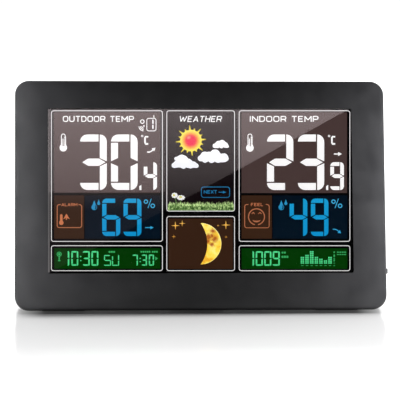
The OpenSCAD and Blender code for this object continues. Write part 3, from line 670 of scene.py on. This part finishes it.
# blue segments -----------------------------------------------------
BLUE = glow("ink_blue", srgb(8, 143, 203), srgb(23, 157, 211), 1.0, (zrow(238), zrow(196)), 0.12)
a = Art("digits_blue", BLUE, 2)
for ch, u0, u1 in (("6", 102.2, 120.3), ("9", 123.5, 141.4), ("4", 289.6, 307.3), ("9", 310.9, 328.4)):
    a.digit(ch, u0, 198.6, u1, 236.0, 4.25, 0.9)
a.done()
BLUE2 = glow("ink_blue_light", srgb(44, 160, 214), srgb(70, 180, 226), 1.0, (zrow(238), zrow(196)), 0.1)


def drop(a, u, v, r, tip):
    pts = []
    for i in range(25):
        x = math.radians(-50 + 280 * i / 24)
        pts.append((u + r * math.cos(x), v + r * math.sin(x)))
    a.poly(pts + [(u, tip)])


a = Art("drops_blue", glow("ink_drop", srgb(26, 134, 184), srgb(50, 154, 202), 1.0, (zrow(212), zrow(198)), 0.1), 2)
for du in (0.0, 187.1):
    drop(a, 94.2 + du, 207.3, 2.8, 200.3)
    drop(a, 98.7 + du, 203.5, 1.55, 199.2)
a.done()
a = Art("icons_blue", BLUE2, 2)
for du in (0.0, 187.1):
    a.hoop(145.9 + du * 1.0027, 201.6, 1.7, 0.95, 20)
    a.hoop(152.7 + du * 1.0015, 205.8, 1.8, 0.95, 20)
    a.stroke([(151.3 + du, 198.7), (147.9 + du, 208.1)], 0.75)
a.stroke([(145.1, 227.6), (151.2, 227.6)], 0.9)
a.poly([(150.4, 226.0), (153.7, 227.6), (150.4, 229.2)])
a.stroke([(332.9, 229.3), (334.9, 229.2), (337.0, 230.0), (338.8, 231.4)], 0.85)
a.poly([(337.6, 232.9), (341.0, 233.3), (339.9, 229.9)])
a.done()
a = Art("drop_glints", glow("ink_drop_glint", srgb(4, 16, 30), srgb(8, 22, 38), 1.0, (zrow(238), zrow(196))), 3)
for du in (0.0, 187.1):
    a.stroke([(94.4 + du + 1.55 * math.cos(math.radians(x)), 207.2 + 1.7 * math.sin(math.radians(x))) for x in range(-60, 71, 13)], 0.95)
a.done()

# amber blocks ------------------------------------------------------
AMBER = glow("ink_amber", srgb(192, 112, 72), srgb(210, 126, 86), 1.0, (zrow(238), zrow(196)), 0.1)
AMBER_DIM = glow("ink_amber_dim", srgb(170, 104, 70), srgb(190, 116, 80), 1.0, (zrow(238), zrow(196)), 0.1)
a = Art("amber_frames", AMBER_DIM, 2)


def broken_frame(a, u0, v0, u1, v1, r, t, gu0, gu1):
    pts = [(gu1, v0), (u1 - r, v0)]
    for a0, cu, cv in ((-90, u1 - r, v0 + r), (0, u1 - r, v1 - r), (90, u0 + r, v1 - r), (180, u0 + r, v0 + r)):
        pts += [(cu + r * math.cos(math.radians(a0 + x)), cv + r * math.sin(math.radians(a0 + x))) for x in range(10, 91, 16)]
    pts += [(gu0, v0)]
    a.stroke(pts, t)


broken_frame(a, 57.2, 204.6, 81.7, 227.6, 2.2, 0.85, 60.6, 78.6)
broken_frame(a, 244.7, 204.5, 269.2, 227.8, 2.2, 0.75, 248.4, 265.8)
pts = [(256.5 + 8.0 * math.sin(math.radians(x)), 216.8 + 8.0 * math.cos(math.radians(x))) for x in range(12, 349, 8)]
a.stroke(pts, 1.0)
a.done()
a = Art("amber_marks", AMBER, 2)
a.text("ALARM", 61.4, 203.1, 77.3, 206.2, 0.5)
a.text("FEEL", 250.9, 203.0, 263.2, 206.1, 0.5)
thermometer(a, 61.3, 222.7, 2.25, 214.2, 1.25, 0.6)
a.poly([(66.4, 213.6), (69.8, 219.2), (66.9, 217.9), (66.9, 219.9), (65.9, 219.9), (65.9, 217.9), (63.2, 219.2)])
a.done()
a = Art("face_marks", AMBER_DIM, 2)
for u in (253.2, 259.9):
    a.stroke([(u - 1.5, 213.9), (u, 212.4), (u + 1.5, 213.9)], 0.7)
lo_arc = [(256.5 + 4.0 * math.cos(math.radians(x)), 219.6 + 2.7 * math.sin(math.radians(x))) for x in range(0, 181, 15)]
hi_arc = [(256.5 - 4.0 * math.cos(math.radians(x)), 219.6 + 1.1 * math.sin(math.radians(x))) for x in range(15, 180, 15)]
a.poly(lo_arc + hi_arc)
a.done()

# green strips ------------------------------------------------------
GREEN = glow("ink_green", srgb(70, 211, 130), srgb(88, 228, 148), 1.0, (zrow(269), zrow(248)), 0.12)
GREEN_DIM = glow("ink_green_dim", srgb(46, 158, 84), srgb(60, 178, 98), 1.0, (zrow(269), zrow(248)), 0.12)
a = Art("digits_green", GREEN, 2)
for ch, u0, u1 in (("1", 62.3, 69.3), ("0", 71.3, 78.3), ("3", 82.9, 89.8), ("0", 91.4, 98.4)):
    a.digit(ch, u0, 251.0, u1, 265.8, 1.55, 0.4)
for u, v0, v1 in ((80.1, 256.0, 257.2), (80.1, 259.9, 261.1), (139.6, 257.9, 258.9), (139.6, 261.1, 262.1)):
    a.rect(u, v0, u + 1.2, v1)
for ch, u0, u1 in (("7", 132.7, 137.9), ("3", 141.9, 147.0), ("0", 148.8, 154.0)):
    a.digit(ch, u0, 254.5, u1, 265.7, 1.3, 0.35)
for ch, u0, u1 in (("1", 247.0, 254.1), ("0", 255.7, 262.9), ("0", 264.2, 271.4), ("9", 272.7, 279.8)):
    a.digit(ch, u0, 251.2, u1, 265.8, 1.55, 0.4)
for ch, u0, u1 in (("S", 104.0, 111.1), ("U", 112.0, 119.1)):
    a.digit(ch, u0, 255.0, u1, 265.8, 1.05, 0.35)
a.done()
a = Art("icons_green", GREEN_DIM, 2)
a.disc(59.2, 254.2, 2.5, 24)
a.stroke([(59.2, 256.6), (59.2, 260.8)], 1.2)
a.rect(58.0, 260.2, 60.4, 261.2)
a.poly([(155.3, 256.6), (157.9, 258.4), (155.3, 260.4)])
for u0, u1, v in ((108.6, 110.5, 251.9), (110.9, 112.8, 251.9), (113.2, 115.0, 251.9)):
    a.rect(u0, v - 0.9, u1, v + 0.9, 0.3)
for k in range(5):
    a.rect(140.5 + k * 2.05, 250.9, 142.1 + k * 2.05, 252.6, 0.3)
for k in range(3):
    a.rect(151.9 + k * 2.05, 250.9, 153.5 + k * 2.05, 252.6, 0.3)
for k in range(2):
    a.rect(281.6 + k * 2.3, 251.7, 283.4 + k * 2.3, 253.5, 0.3)
for k in range(3):
    a.rect(281.6 + k * 2.4, 255.7, 283.5 + k * 2.4, 258.0, 0.3)
for k in range(4):
    a.rect(337.0 + k * 2.4, 251.6, 338.8 + k * 2.4, 252.7)
    a.rect(337.0 + k * 2.4, 254.0, 338.8 + k * 2.4, 255.0)
for v0, v1 in ((251.5, 253.0), (254.6, 257.0), (258.0, 258.8), (259.3, 261.4), (262.8, 263.5), (265.2, 266.0)):
    a.rect(333.5, v0, 334.9, v1)
for u in (302.3, 307.0, 311.7, 316.4, 320.9, 325.5, 330.0):
    a.rect(u - 1.1, 265.2, u + 1.1, 265.9)
a.done()
a = Art("bars_green", GREEN, 2)
for (u0, u1), top in zip(((300.7, 304.1), (305.3, 308.7), (309.9, 313.5), (314.7, 318.0), (319.2, 322.6), (323.9, 327.1), (328.2, 331.8)),
                         (256.9, 254.9, 251.1, 256.9, 258.7, 260.3, 256.9)):
    n = max(2, round((264.1 - top) / 1.85))
    h = (264.1 - top) / n
    for k in range(n):
        for w0, w1 in ((u0, (u0 + u1) / 2 - 0.2), ((u0 + u1) / 2 + 0.2, u1)):
            a.rect(w0, top + k * h, w1, top + (k + 1) * h - 0.42)
a.done()
a = Art("icon_green_shade", glow("ink_green_shade", srgb(0, 70, 20), srgb(0, 84, 26), 1.0, (zrow(269), zrow(248))), 3)
a.hoop(59.2, 254.2, 1.5, 0.5, 18)
a.done()

# weather picture ---------------------------------------------------
def radial(name, centre, stops, z_scale=1.0, noise_amt=0.0):
    """Ink whose colour runs outward from a point on the display."""
    m, nt, bs = new_mat(name)
    tc = nt.nodes.new("ShaderNodeTexCoord")
    vd = nt.nodes.new("ShaderNodeVectorMath")
    vd.operation = "DISTANCE"
    nt.links.new(tc.outputs["Object"], vd.inputs[0])
    vd.inputs[1].default_value = centre
    g = math_node(nt, "MULTIPLY", vd.outputs["Value"], 1.0 / z_scale)
    if noise_amt:
        g = math_node(nt, "ADD", g, to_range(nt, noise(nt, coords(nt), 1400.0, 3), -noise_amt, noise_amt, 0.3, 0.7))
    col = ramp(nt, g, stops)
    nt.links.new(col, bs.inputs["Emission Color"])
    nt.links.new(ramp(nt, g, [(p, tuple(x * 0.25 for x in c)) for p, c in stops]), bs.inputs["Base Color"])
    bs.inputs["Emission Strength"].default_value = 1.0
    bs.inputs["Roughness"].default_value = 0.6
    bs.inputs["Specular IOR Level"].default_value = 0.1
    return m


PX = (WX1 - WX0) / (U1 - U0)
SU, SV = 190.9, 140.6
sun_mat = radial("ink_sun", canvas(SU, SV, FACE), [(0.0, srgb(242, 34, 80)), (0.28, srgb(246, 44, 82)), (0.36, srgb(246, 92, 76)), (0.44, srgb(248, 150, 70)),
                 (0.55, srgb(252, 208, 84)), (0.66, srgb(252, 234, 92)), (0.76, srgb(246, 226, 66)), (1.0, srgb(222, 204, 52))], 15.0 * PX, 0.02)
a = Art("sun", sun_mat, 2)
pts = []
for i in range(16):
    c = math.radians(-5 + 22.5 * i)
    tip = 15.2 if i % 2 == 0 else 12.8
    for k, r in ((-10.4, 10.7), (-4.8, 10.9), (-1.2, tip), (1.2, tip), (4.8, 10.9)):
        x = c + math.radians(k)
        pts.append((SU + r * math.cos(x), SV + r * math.sin(x)))
a.poly(pts)
a.done()
a = Art("sun_glint", radial("ink_sun_glint", canvas(188.7, 137.6, FACE), [(0.0, srgb(246, 160, 140)), (0.5, srgb(238, 108, 106)), (1.0, srgb(230, 58, 86))], 3.0 * PX, 0.05), 3)
a.poly([(188.9 + 2.7 * math.cos(x) - 0.4 * math.sin(x), 137.6 + 1.8 * math.sin(x) - 0.5 * math.cos(x)) for x in [2 * math.pi * i / 24 for i in range(24)]])
a.done()


def puffs(lobes, n=72):
    """Outline of a heap of round puffs, walked round from the middle."""
    cu = sum(p[0] for p in lobes) / len(lobes)
    cv = sum(p[1] for p in lobes) / len(lobes)
    pts = []
    for i in range(n):
        x = 2 * math.pi * i / n
        du, dv = math.cos(x), math.sin(x)
        far = 0.0
        for pu, pv, r in lobes:
            b_ = du * (pu - cu) + dv * (pv - cv)
            c_ = (pu - cu) ** 2 + (pv - cv) ** 2 - r * r
            if b_ * b_ - c_ > 0:
                far = max(far, b_ + math.sqrt(b_ * b_ - c_))
        pts.append((cu + far * du, cv + far * dv))
    return pts


CLOUD = glow("ink_cloud", srgb(240, 242, 247), srgb(255, 255, 255), 1.05, (zrow(168), zrow(146)), 0.14)
a = Art("clouds", CLOUD, 2)
a.poly(puffs([(174.2, 165.3, 2.7), (178.0, 163.5, 4.0), (182.6, 163.8, 4.4), (188.0, 163.2, 4.6), (193.4, 164.6, 3.2), (196.4, 165.9, 2.3), (183.6, 166.2, 2.6), (190.5, 166.3, 2.3)]))
a.poly([(174.0, 158.6), (175.0, 157.2), (177.2, 156.6), (179.4, 155.2), (181.6, 154.5), (184.0, 155.1), (186.4, 156.4), (187.9, 158.2), (188.8, 160.2), (187.0, 162.4), (179.6, 161.4), (179.2, 160.2), (176.2, 160.3), (174.7, 159.9)])
a.poly(puffs([(200.8, 158.3, 3.1), (204.8, 156.0, 4.4), (209.2, 156.6, 4.9), (215.0, 154.6, 5.2), (218.2, 157.8, 5.0), (223.6, 157.8, 4.6), (226.0, 158.6, 2.7), (211.6, 159.4, 3.6), (205.2, 159.6, 3.2)]))
a.poly(puffs([(214.9, 145.8, 2.3), (218.6, 144.2, 3.4), (222.0, 143.4, 3.5), (225.2, 145.0, 2.8), (227.4, 146.4, 1.6), (217.6, 146.6, 1.6), (221.4, 146.6, 1.8)]))
a.done()

# grass: many thin blades over a leafy strip
GRASS = glow("ink_grass", srgb(58, 102, 38), srgb(206, 234, 158), 1.0, (zrow(211.0), zrow(200.8)), 0.75)
a = Art("grass", GRASS, 3)
a.rect(167.6, 204.6, 233.8, 210.6)
state = 7


def rnd():
    global state
    state = (state * 1103515245 + 12345) % 2147483648
    return state / 2147483648


for i in range(150):
    u = 168.3 + 65.0 * (i + rnd() * 0.9) / 150
    h = 2.2 + 2.6 * rnd()
    lean_u = (rnd() - 0.5) * 2.4
    w = 0.35 + 0.25 * rnd()
    base = 205.6 + rnd() * 1.2
    u = min(max(u, 168.4), 233.0)
    tip = min(max(u + lean_u, 168.0), 233.4)
    a.poly([(u - w, base), (u + w, base), (u + lean_u * 0.45 + w * 0.5, base - h * 0.6), (tip, base - h), (u + lean_u * 0.4 - w * 0.6, base - h * 0.55)])
a.done()
GRASS2 = glow("ink_grass_shade", srgb(14, 40, 8), srgb(66, 112, 36), 1.0, (zrow(211.5), zrow(203)), 0.4)
a = Art("grass_shade", GRASS2, 4)
for i in range(150):
    u = 169 + 63.0 * rnd()
    v = 205.6 + 4.6 * rnd() ** 0.7
    d = (rnd() - 0.5) * 2.2
    a.poly([(u, v), (u + 0.75, v), (min(max(u + d, 168.2), 233.2), v - 1.7 - rnd())])
a.done()

PETAL = glow("ink_petal", srgb(226, 226, 222), srgb(252, 252, 250), 1.0, (zrow(203), zrow(190)), 0.2)
a = Art("flower_petals", PETAL, 4)
for (cu, cv, ru, rv, n, tilt) in ((174.6, 195.4, 3.3, 2.9, 8, 0.2), (180.9, 197.7, 4.3, 2.7, 9, 0.0)):
    pts = []
    for i in range(n * 6):
        x = 2 * math.pi * i / (n * 6)
        k = 0.78 + 0.22 * abs(math.cos(n * x / 2 + tilt))
        pts.append((cu + ru * k * math.cos(x), cv + rv * k * math.sin(x)))
    a.poly(pts)
a.done()
a = Art("flower_hearts", glow("ink_heart", srgb(198, 190, 60), srgb(226, 220, 90), 1.0, (zrow(203), zrow(190)), 0.2), 5)
a.poly([(180.6 + 1.5 * math.cos(x), 197.0 + 0.95 * math.sin(x)) for x in [2 * math.pi * i / 16 for i in range(16)]])
a.poly([(173.9 + 1.0 * math.cos(x), 195.2 + 1.2 * math.sin(x)) for x in [2 * math.pi * i / 16 for i in range(16)]])
a.done()
a = Art("flower_stems", glow("ink_stem", srgb(70, 110, 50), srgb(96, 136, 70), 1.0, (zrow(206), zrow(198))), 3)
a.stroke([(175.2, 198.1), (175.9, 201.0), (176.1, 203.4)], 0.7)
a.stroke([(181.0, 200.2), (180.6, 202.0), (180.8, 203.6)], 0.7)
a.done()

TREND = glow("ink_trend", srgb(24, 112, 164), srgb(36, 128, 178), 1.0, (zrow(199), zrow(186)), 0.1)
a = Art("trend_box", TREND, 2)
a.frame(201.4, 187.0, 229.6, 197.4, 2.3, 0.62)
a.text("NEXT", 203.8, 190.2, 217.0, 193.6, 0.6)
a.stroke([(218.6, 192.2), (223.2, 192.2)], 0.7)
a.poly([(222.8, 190.9), (226.3, 192.2), (222.8, 193.5)])
a.done()

# moon and stars ----------------------------------------------------
moon, nt, bs = new_mat("ink_moon")
v = coords(nt)
big = noise(nt, v, 260.0, 4, 0.6)
fine = noise(nt, v, 900.0, 3, 0.6)
base = ramp(nt, big, [(0.36, srgb(232, 170, 46)), (0.5, srgb(248, 212, 74)), (0.64, srgb(254, 240, 134))])
craters = None
for cu, cv, r in ((212.9, 231.2, 3.0), (208.6, 237.0, 4.2), (214.8, 239.0, 3.7), (212.0, 244.6, 2.6), (207.6, 241.2, 3.0), (211.6, 235.6, 2.9)):
    d = nt.nodes.new("ShaderNodeVectorMath")
    d.operation = "DISTANCE"
    tc = nt.nodes.new("ShaderNodeTexCoord")
    nt.links.new(tc.outputs["Object"], d.inputs[0])
    d.inputs[1].default_value = canvas(cu, cv, FACE)
    soft = math_node(nt, "ADD", d.outputs["Value"], to_range(nt, fine, -0.8 * PX, 0.8 * PX, 0.3, 0.7))
    k = to_range(nt, soft, 1.0, 0.0, r * 0.35 * PX, r * 1.25 * PX)
    craters = k if craters is None else math_node(nt, "MAXIMUM", craters, k)
mix = nt.nodes.new("ShaderNodeMix")
mix.data_type = "RGBA"
nt.links.new(math_node(nt, "MULTIPLY", craters, 0.92, True), mix.inputs[0])
nt.links.new(base, mix.inputs[6])
mix.inputs[7].default_value = (*srgb(158, 72, 30), 1)
nt.links.new(mix.outputs[2], bs.inputs["Emission Color"])
nt.links.new(mix.outputs[2], bs.inputs["Base Color"])
bs.inputs["Emission Strength"].default_value = 1.0
bs.inputs["Roughness"].default_value = 0.7
bs.inputs["Specular IOR Level"].default_value = 0.1
a = Art("moon", moon, 2)
R1, MU, MV = 20.7, 200.7, 243.7
R2 = 35.6
outer = [(MU + R1 * math.sin(math.radians(x)), MV - R1 * math.cos(math.radians(x))) for x in range(0, 181, 6)]
cx = MU + 6.6 - R2
th = math.degrees(math.asin(R1 / R2))
inner = [(cx + R2 * math.cos(math.radians(th - 2 * th * i / 24)), MV + R2 * math.sin(math.radians(th - 2 * th * i / 24))) for i in range(1, 24)]
a.poly(outer + inner)
a.done()
a = Art("moon_rim", glow("ink_moon_rim", srgb(255, 238, 120), srgb(255, 246, 170), 1.0, (zrow(264), zrow(223)), 0.1), 3)
a.stroke([(MU + (R1 - 0.3) * math.sin(math.radians(x)), MV - (R1 - 0.3) * math.cos(math.radians(x))) for x in range(8, 173, 6)], 0.55)
a.done()
STAR = glow("ink_star", srgb(232, 158, 50), srgb(250, 194, 92), 1.0, (zrow(240), zrow(220)), 0.15)
a = Art("stars", STAR, 2)
for u, v, r in ((175.4, 225.6, 4.0), (182.2, 223.4, 3.0), (173.8, 236.6, 1.9), (225.9, 225.0, 4.2), (218.1, 225.6, 1.2), (226.0, 237.0, 1.4)):
    pts = []
    for i in range(8):
        x = math.pi * i / 4
        k = r * 1.1 if i % 2 == 0 else r * 0.2
        pts.append((u + k * math.cos(x), v + k * math.sin(x)))
    a.poly(pts)
a.done()

# ---------------------------------------------------------------- camera
cam_data = bpy.data.cameras.new("camera")
cam = bpy.data.objects.new("camera", cam_data)
bpy.context.scene.collection.objects.link(cam)
cam_data.sensor_width = 36.0
F_PX = 2321.0
cam_data.lens = F_PX / 400 * 36.0
cam_data.clip_start, cam_data.clip_end = 0.05, 50.0
az, el, roll, dist = (math.radians(-3.46), math.radians(6.358), math.radians(0.341), 1.25)
aim = Vector((-0.492 * MM, -12.0 * MM, 59.746 * MM))
back = Vector((math.sin(az) * math.cos(el), -math.cos(az) * math.cos(el), math.sin(el)))
fwd = -back
right = fwd.cross(Vector((0, 0, 1))).normalized()
up = right.cross(fwd)
rt = math.cos(roll) * right + math.sin(roll) * up
upr = -math.sin(roll) * right + math.cos(roll) * up
m4 = Matrix((rt, upr, -fwd)).transposed().to_4x4()
m4.translation = aim + back * dist
cam.matrix_world = m4
bpy.context.scene.camera = cam

# ---------------------------------------------------------------- floor and light
scene = bpy.context.scene
scene.view_settings.view_transform = "Standard"
scene.view_settings.look = "None"
scene.view_settings.exposure = 0.0
scene.view_settings.gamma = 1.0

bm = bmesh.new()
bmesh.ops.create_circle(bm, cap_ends=True, radius=6.0, segments=64)
me = bpy.data.meshes.new("floor")
bm.to_mesh(me)
bm.free()
floor = bpy.data.objects.new("floor", me)
scene.collection.objects.link(floor)
floor.location = (0, 0, -0.00002)
fm, nt, bs = new_mat("floor_white")
n = noise(nt, coords(nt), 3.0, 2)
nt.links.new(ramp(nt, n, [(0.3, (0.93, 0.93, 0.935)), (0.7, (0.95, 0.95, 0.95))]), bs.inputs["Base Color"])
nt.links.new(to_range(nt, n, 0.13, 0.15, 0.3, 0.7), bs.inputs["Roughness"])
bs.inputs["IOR"].default_value = 1.45
# painted shadow: the floor's glow is held low close in front of the object and rises to plain white a hand's width
# away, standing in for the soft shadow the body casts
tc = nt.nodes.new("ShaderNodeTexCoord")
sep = nt.nodes.new("ShaderNodeSeparateXYZ")
nt.links.new(tc.outputs["Object"], sep.inputs[0])
sx = math_node(nt, "ABSOLUTE", sep.outputs[0])
ahead = math_node(nt, "MULTIPLY", sep.outputs[1], -1.0)
painted_shadow_glow = ramp(nt, to_range(nt, ahead, 0.0, 1.0, 0.04, 0.29), [(p, (w,) * 3) for p, w in (
    (0.0, 0.465), (0.18, 0.465), (0.28, 0.476), (0.336, 0.485), (0.39, 0.555), (0.444, 0.605), (0.5, 0.68), (1.0, 0.97))])
# painted contact shadow: dark only right under and just ahead of the body, a little weaker towards its ends, and plain
# white beside and behind it
painted_shadow_reach = math_node(nt, "ADD", ahead, to_range(nt, sep.outputs[0], -0.0050, 0.0017, -0.1, 0.1))
painted_shadow_ramp = ramp(nt, to_range(nt, painted_shadow_reach, 0.0, 1.0, 0.02, 0.045), [(p, (w,) * 3) for p, w in (
    (0.0, 1.0), (0.2, 1.0), (0.27, 0.92), (0.4, 0.54), (0.54, 0.28), (0.66, 0.1), (0.8, 0.04), (1.0, 0.0))])
painted_contact_shadow = math_node(nt, "MULTIPLY", painted_shadow_ramp, to_range(nt, sx, 1.0, 0.0, 0.084, 0.104))
painted_contact_shadow = math_node(nt, "MULTIPLY", painted_contact_shadow, to_range(nt, sx, 0.962, 0.91, 0.0, 0.075))
beside = math_node(nt, "MAXIMUM", to_range(nt, sx, 0.0, 1.0, 0.097, 0.103), to_range(nt, sep.outputs[1], 0.0, 1.0, 0.03, 0.12))
painted_shadow_glow = math_node(nt, "MAXIMUM", math_node(nt, "MULTIPLY", painted_shadow_glow, math_node(nt, "SUBTRACT", 1.0, painted_contact_shadow)), math_node(nt, "MULTIPLY", beside, 0.9))
# painted light falloff: the floor's glow is made brighter from left to right
painted_light_slope = to_range(nt, sep.outputs[0], 0.92, 1.15, -0.1, 0.1)
nt.links.new(painted_shadow_glow, bs.inputs["Emission Color"])
nt.links.new(painted_light_slope, bs.inputs["Emission Strength"])
me.materials.append(fm)

world = bpy.data.worlds.new("studio")
scene.world = world
world.use_nodes = True
nt = world.node_tree
for n_ in list(nt.nodes):
    nt.nodes.remove(n_)
out = nt.nodes.new("ShaderNodeOutputWorld")
bg_seen = nt.nodes.new("ShaderNodeBackground")
bg_seen.inputs[0].default_value = (1, 1, 1, 1)
bg_seen.inputs[1].default_value = 1.05
bg_light = nt.nodes.new("ShaderNodeBackground")
mixs = nt.nodes.new("ShaderNodeMixShader")
lp = nt.nodes.new("ShaderNodeLightPath")
nt.links.new(lp.outputs["Is Camera Ray"], mixs.inputs[0])
nt.links.new(bg_light.outputs[0], mixs.inputs[1])
nt.links.new(bg_seen.outputs[0], mixs.inputs[2])
nt.links.new(mixs.outputs[0], out.inputs[0])
# the studio is white behind and above, and darker on the camera's side
tc = nt.nodes.new("ShaderNodeTexCoord")
sep = nt.nodes.new("ShaderNodeSeparateXYZ")
nt.links.new(tc.outputs["Generated"], sep.inputs[0])
lean_in = math_node(nt, "SUBTRACT", sep.outputs[1], math_node(nt, "MULTIPLY", sep.outputs[2], 0.4))
front_dark = to_range(nt, lean_in, 0.010, 1.15, -0.32, 0.3)
nt.links.new(front_dark, bg_light.inputs[1])
bg_light.inputs[0].default_value = (1, 1, 1, 1)


def area(name, loc, target, sx, sy, power, link=None, spread=math.pi, glossy=True):
    ld = bpy.data.lights.new(name, "AREA")
    ld.shape = "RECTANGLE"
    ld.size, ld.size_y = sx, sy
    ld.energy = power
    ld.spread = spread
    ob = bpy.data.objects.new(name, ld)
    scene.collection.objects.link(ob)
    ob.location = loc
    ob.rotation_mode = "QUATERNION"
    ob.rotation_quaternion = (Vector(target) - Vector(loc)).to_track_quat("-Z", "Y")
    ob.visible_camera = False
    ob.visible_glossy = glossy
    if link is not None:
        ob.light_linking.receiver_collection = link
    return ob


body_col = bpy.data.collections.new("console_only")
for n_, o_ in NODES.items():
    if n_ != "display_lens":
        body_col.objects.link(o_)
shell_col = bpy.data.collections.new("outer_shell")
for n_ in ("front_housing", "rear_housing", "snooze_bar", "switch_knob", "usb_shell", "battery_door", "stand_leg", "stand_foot_pad",
           "rubber_feet", "key_1", "key_2", "key_3", "key_4", "key_5", "key_6"):
    shell_col.objects.link(NODES[n_])
floor_col = bpy.data.collections.new("floor_only")
floor_col.objects.link(floor)
lens_col = bpy.data.collections.new("window_only")
lens_col.objects.link(NODES["display_lens"])

for side, x, z, length, power in (("side_left", -0.130, 0.054, 0.26, 0.97), ("side_right", 0.136, 0.032, 0.20, 1.34)):
    area(side, TO_ROW @ Vector((x, -0.053, z)), TO_ROW @ Vector((x, 0.0, z)), 0.012, length, power, body_col, glossy=False)
area("top_soft", (0, 0.35, 1.5), (0, 0, 0), 1.6, 1.6, 12.0, floor_col, glossy=False)
area("rim_left", (-0.66, 0.4, 0.12), (-0.1, 0.0, 0.06), 0.3, 0.5, 13.0, shell_col, glossy=False)
area("rim_right", (0.55, 0.6, 0.12), (0.1, 0.0, 0.06), 0.3, 0.5, 42.0, shell_col, glossy=False)
for side, x, power in (("low_left", -0.074, 0.023), ("low_right", 0.070, 0.024)):
    area(side, TO_ROW @ Vector((x, -0.055, 0.010)), TO_ROW @ Vector((x, 0.0, 0.006)), 0.05, 0.012, power, body_col, glossy=False)

# softbox whose slanting edge the window mirrors
lens_front = lens_lo.y
cam_pos = cam.matrix_world.translation
n_w = (R3 @ Vector((0, -1, 0))).normalized()
p_w = TO_ROW @ Vector((0, lens_front, 0.06))
mirror_cam = cam_pos - 2 * (cam_pos - p_w).dot(n_w) * n_w
CARD = 0.7


def behind(u, v):
    """Where the window shows, at canvas point (u, v), something on the softbox's plane."""
    p = canvas(u, v, lens_front)
    d = (p - mirror_cam).normalized()
    return p + d * CARD


slope = -0.548
edge_a = (353.0, 107.0)
far = 60.0
A = behind(edge_a[0] + far, edge_a[1] + slope * far)
B = behind(-40.0, edge_a[1] + slope * (-40.0 - edge_a[0]))
C = behind(-40.0, 60.0)
D = behind(edge_a[0] + far, 60.0)
card_me = bpy.data.meshes.new("softbox")
card_me.from_pydata([tuple(A), tuple(B), tuple(C), tuple(D)], [], [(0, 1, 2, 3)])
card = bpy.data.objects.new("softbox", card_me)
scene.collection.objects.link(card)
cm = bpy.data.materials.new("softbox_light")
cm.use_nodes = True
nt = cm.node_tree
for n_ in list(nt.nodes):
    nt.nodes.remove(n_)
o_ = nt.nodes.new("ShaderNodeOutputMaterial")
em = nt.nodes.new("ShaderNodeEmission")
tc = nt.nodes.new("ShaderNodeTexCoord")
sep = nt.nodes.new("ShaderNodeSeparateXYZ")
nt.links.new(tc.outputs["Object"], sep.inputs[0])
g = to_range(nt, sep.outputs[2], 0.1, 1.32, behind(200, 212).z, behind(200, 112).z)
flank = math_node(nt, "ADD", to_range(nt, sep.outputs[0], 1.0, 0.0, behind(163.9, 160).x, behind(165.3, 160).x),
                  to_range(nt, sep.outputs[0], 0.0, 1.0, behind(236.2, 160).x, behind(237.6, 160).x))
upper = to_range(nt, sep.outputs[2], 0.0, 0.55, behind(60, 194.6).z, behind(60, 193.4).z)
g = math_node(nt, "ADD", g, math_node(nt, "MULTIPLY", flank, upper))
nt.links.new(g, em.inputs[1])
em.inputs[0].default_value = (1.02, 0.87, 0.88, 1)
nt.links.new(em.outputs[0], o_.inputs[0])
card_me.materials.append(cm)
card.visible_camera = False
card.visible_diffuse = False
card.visible_shadow = False
card.light_linking.receiver_collection = lens_col
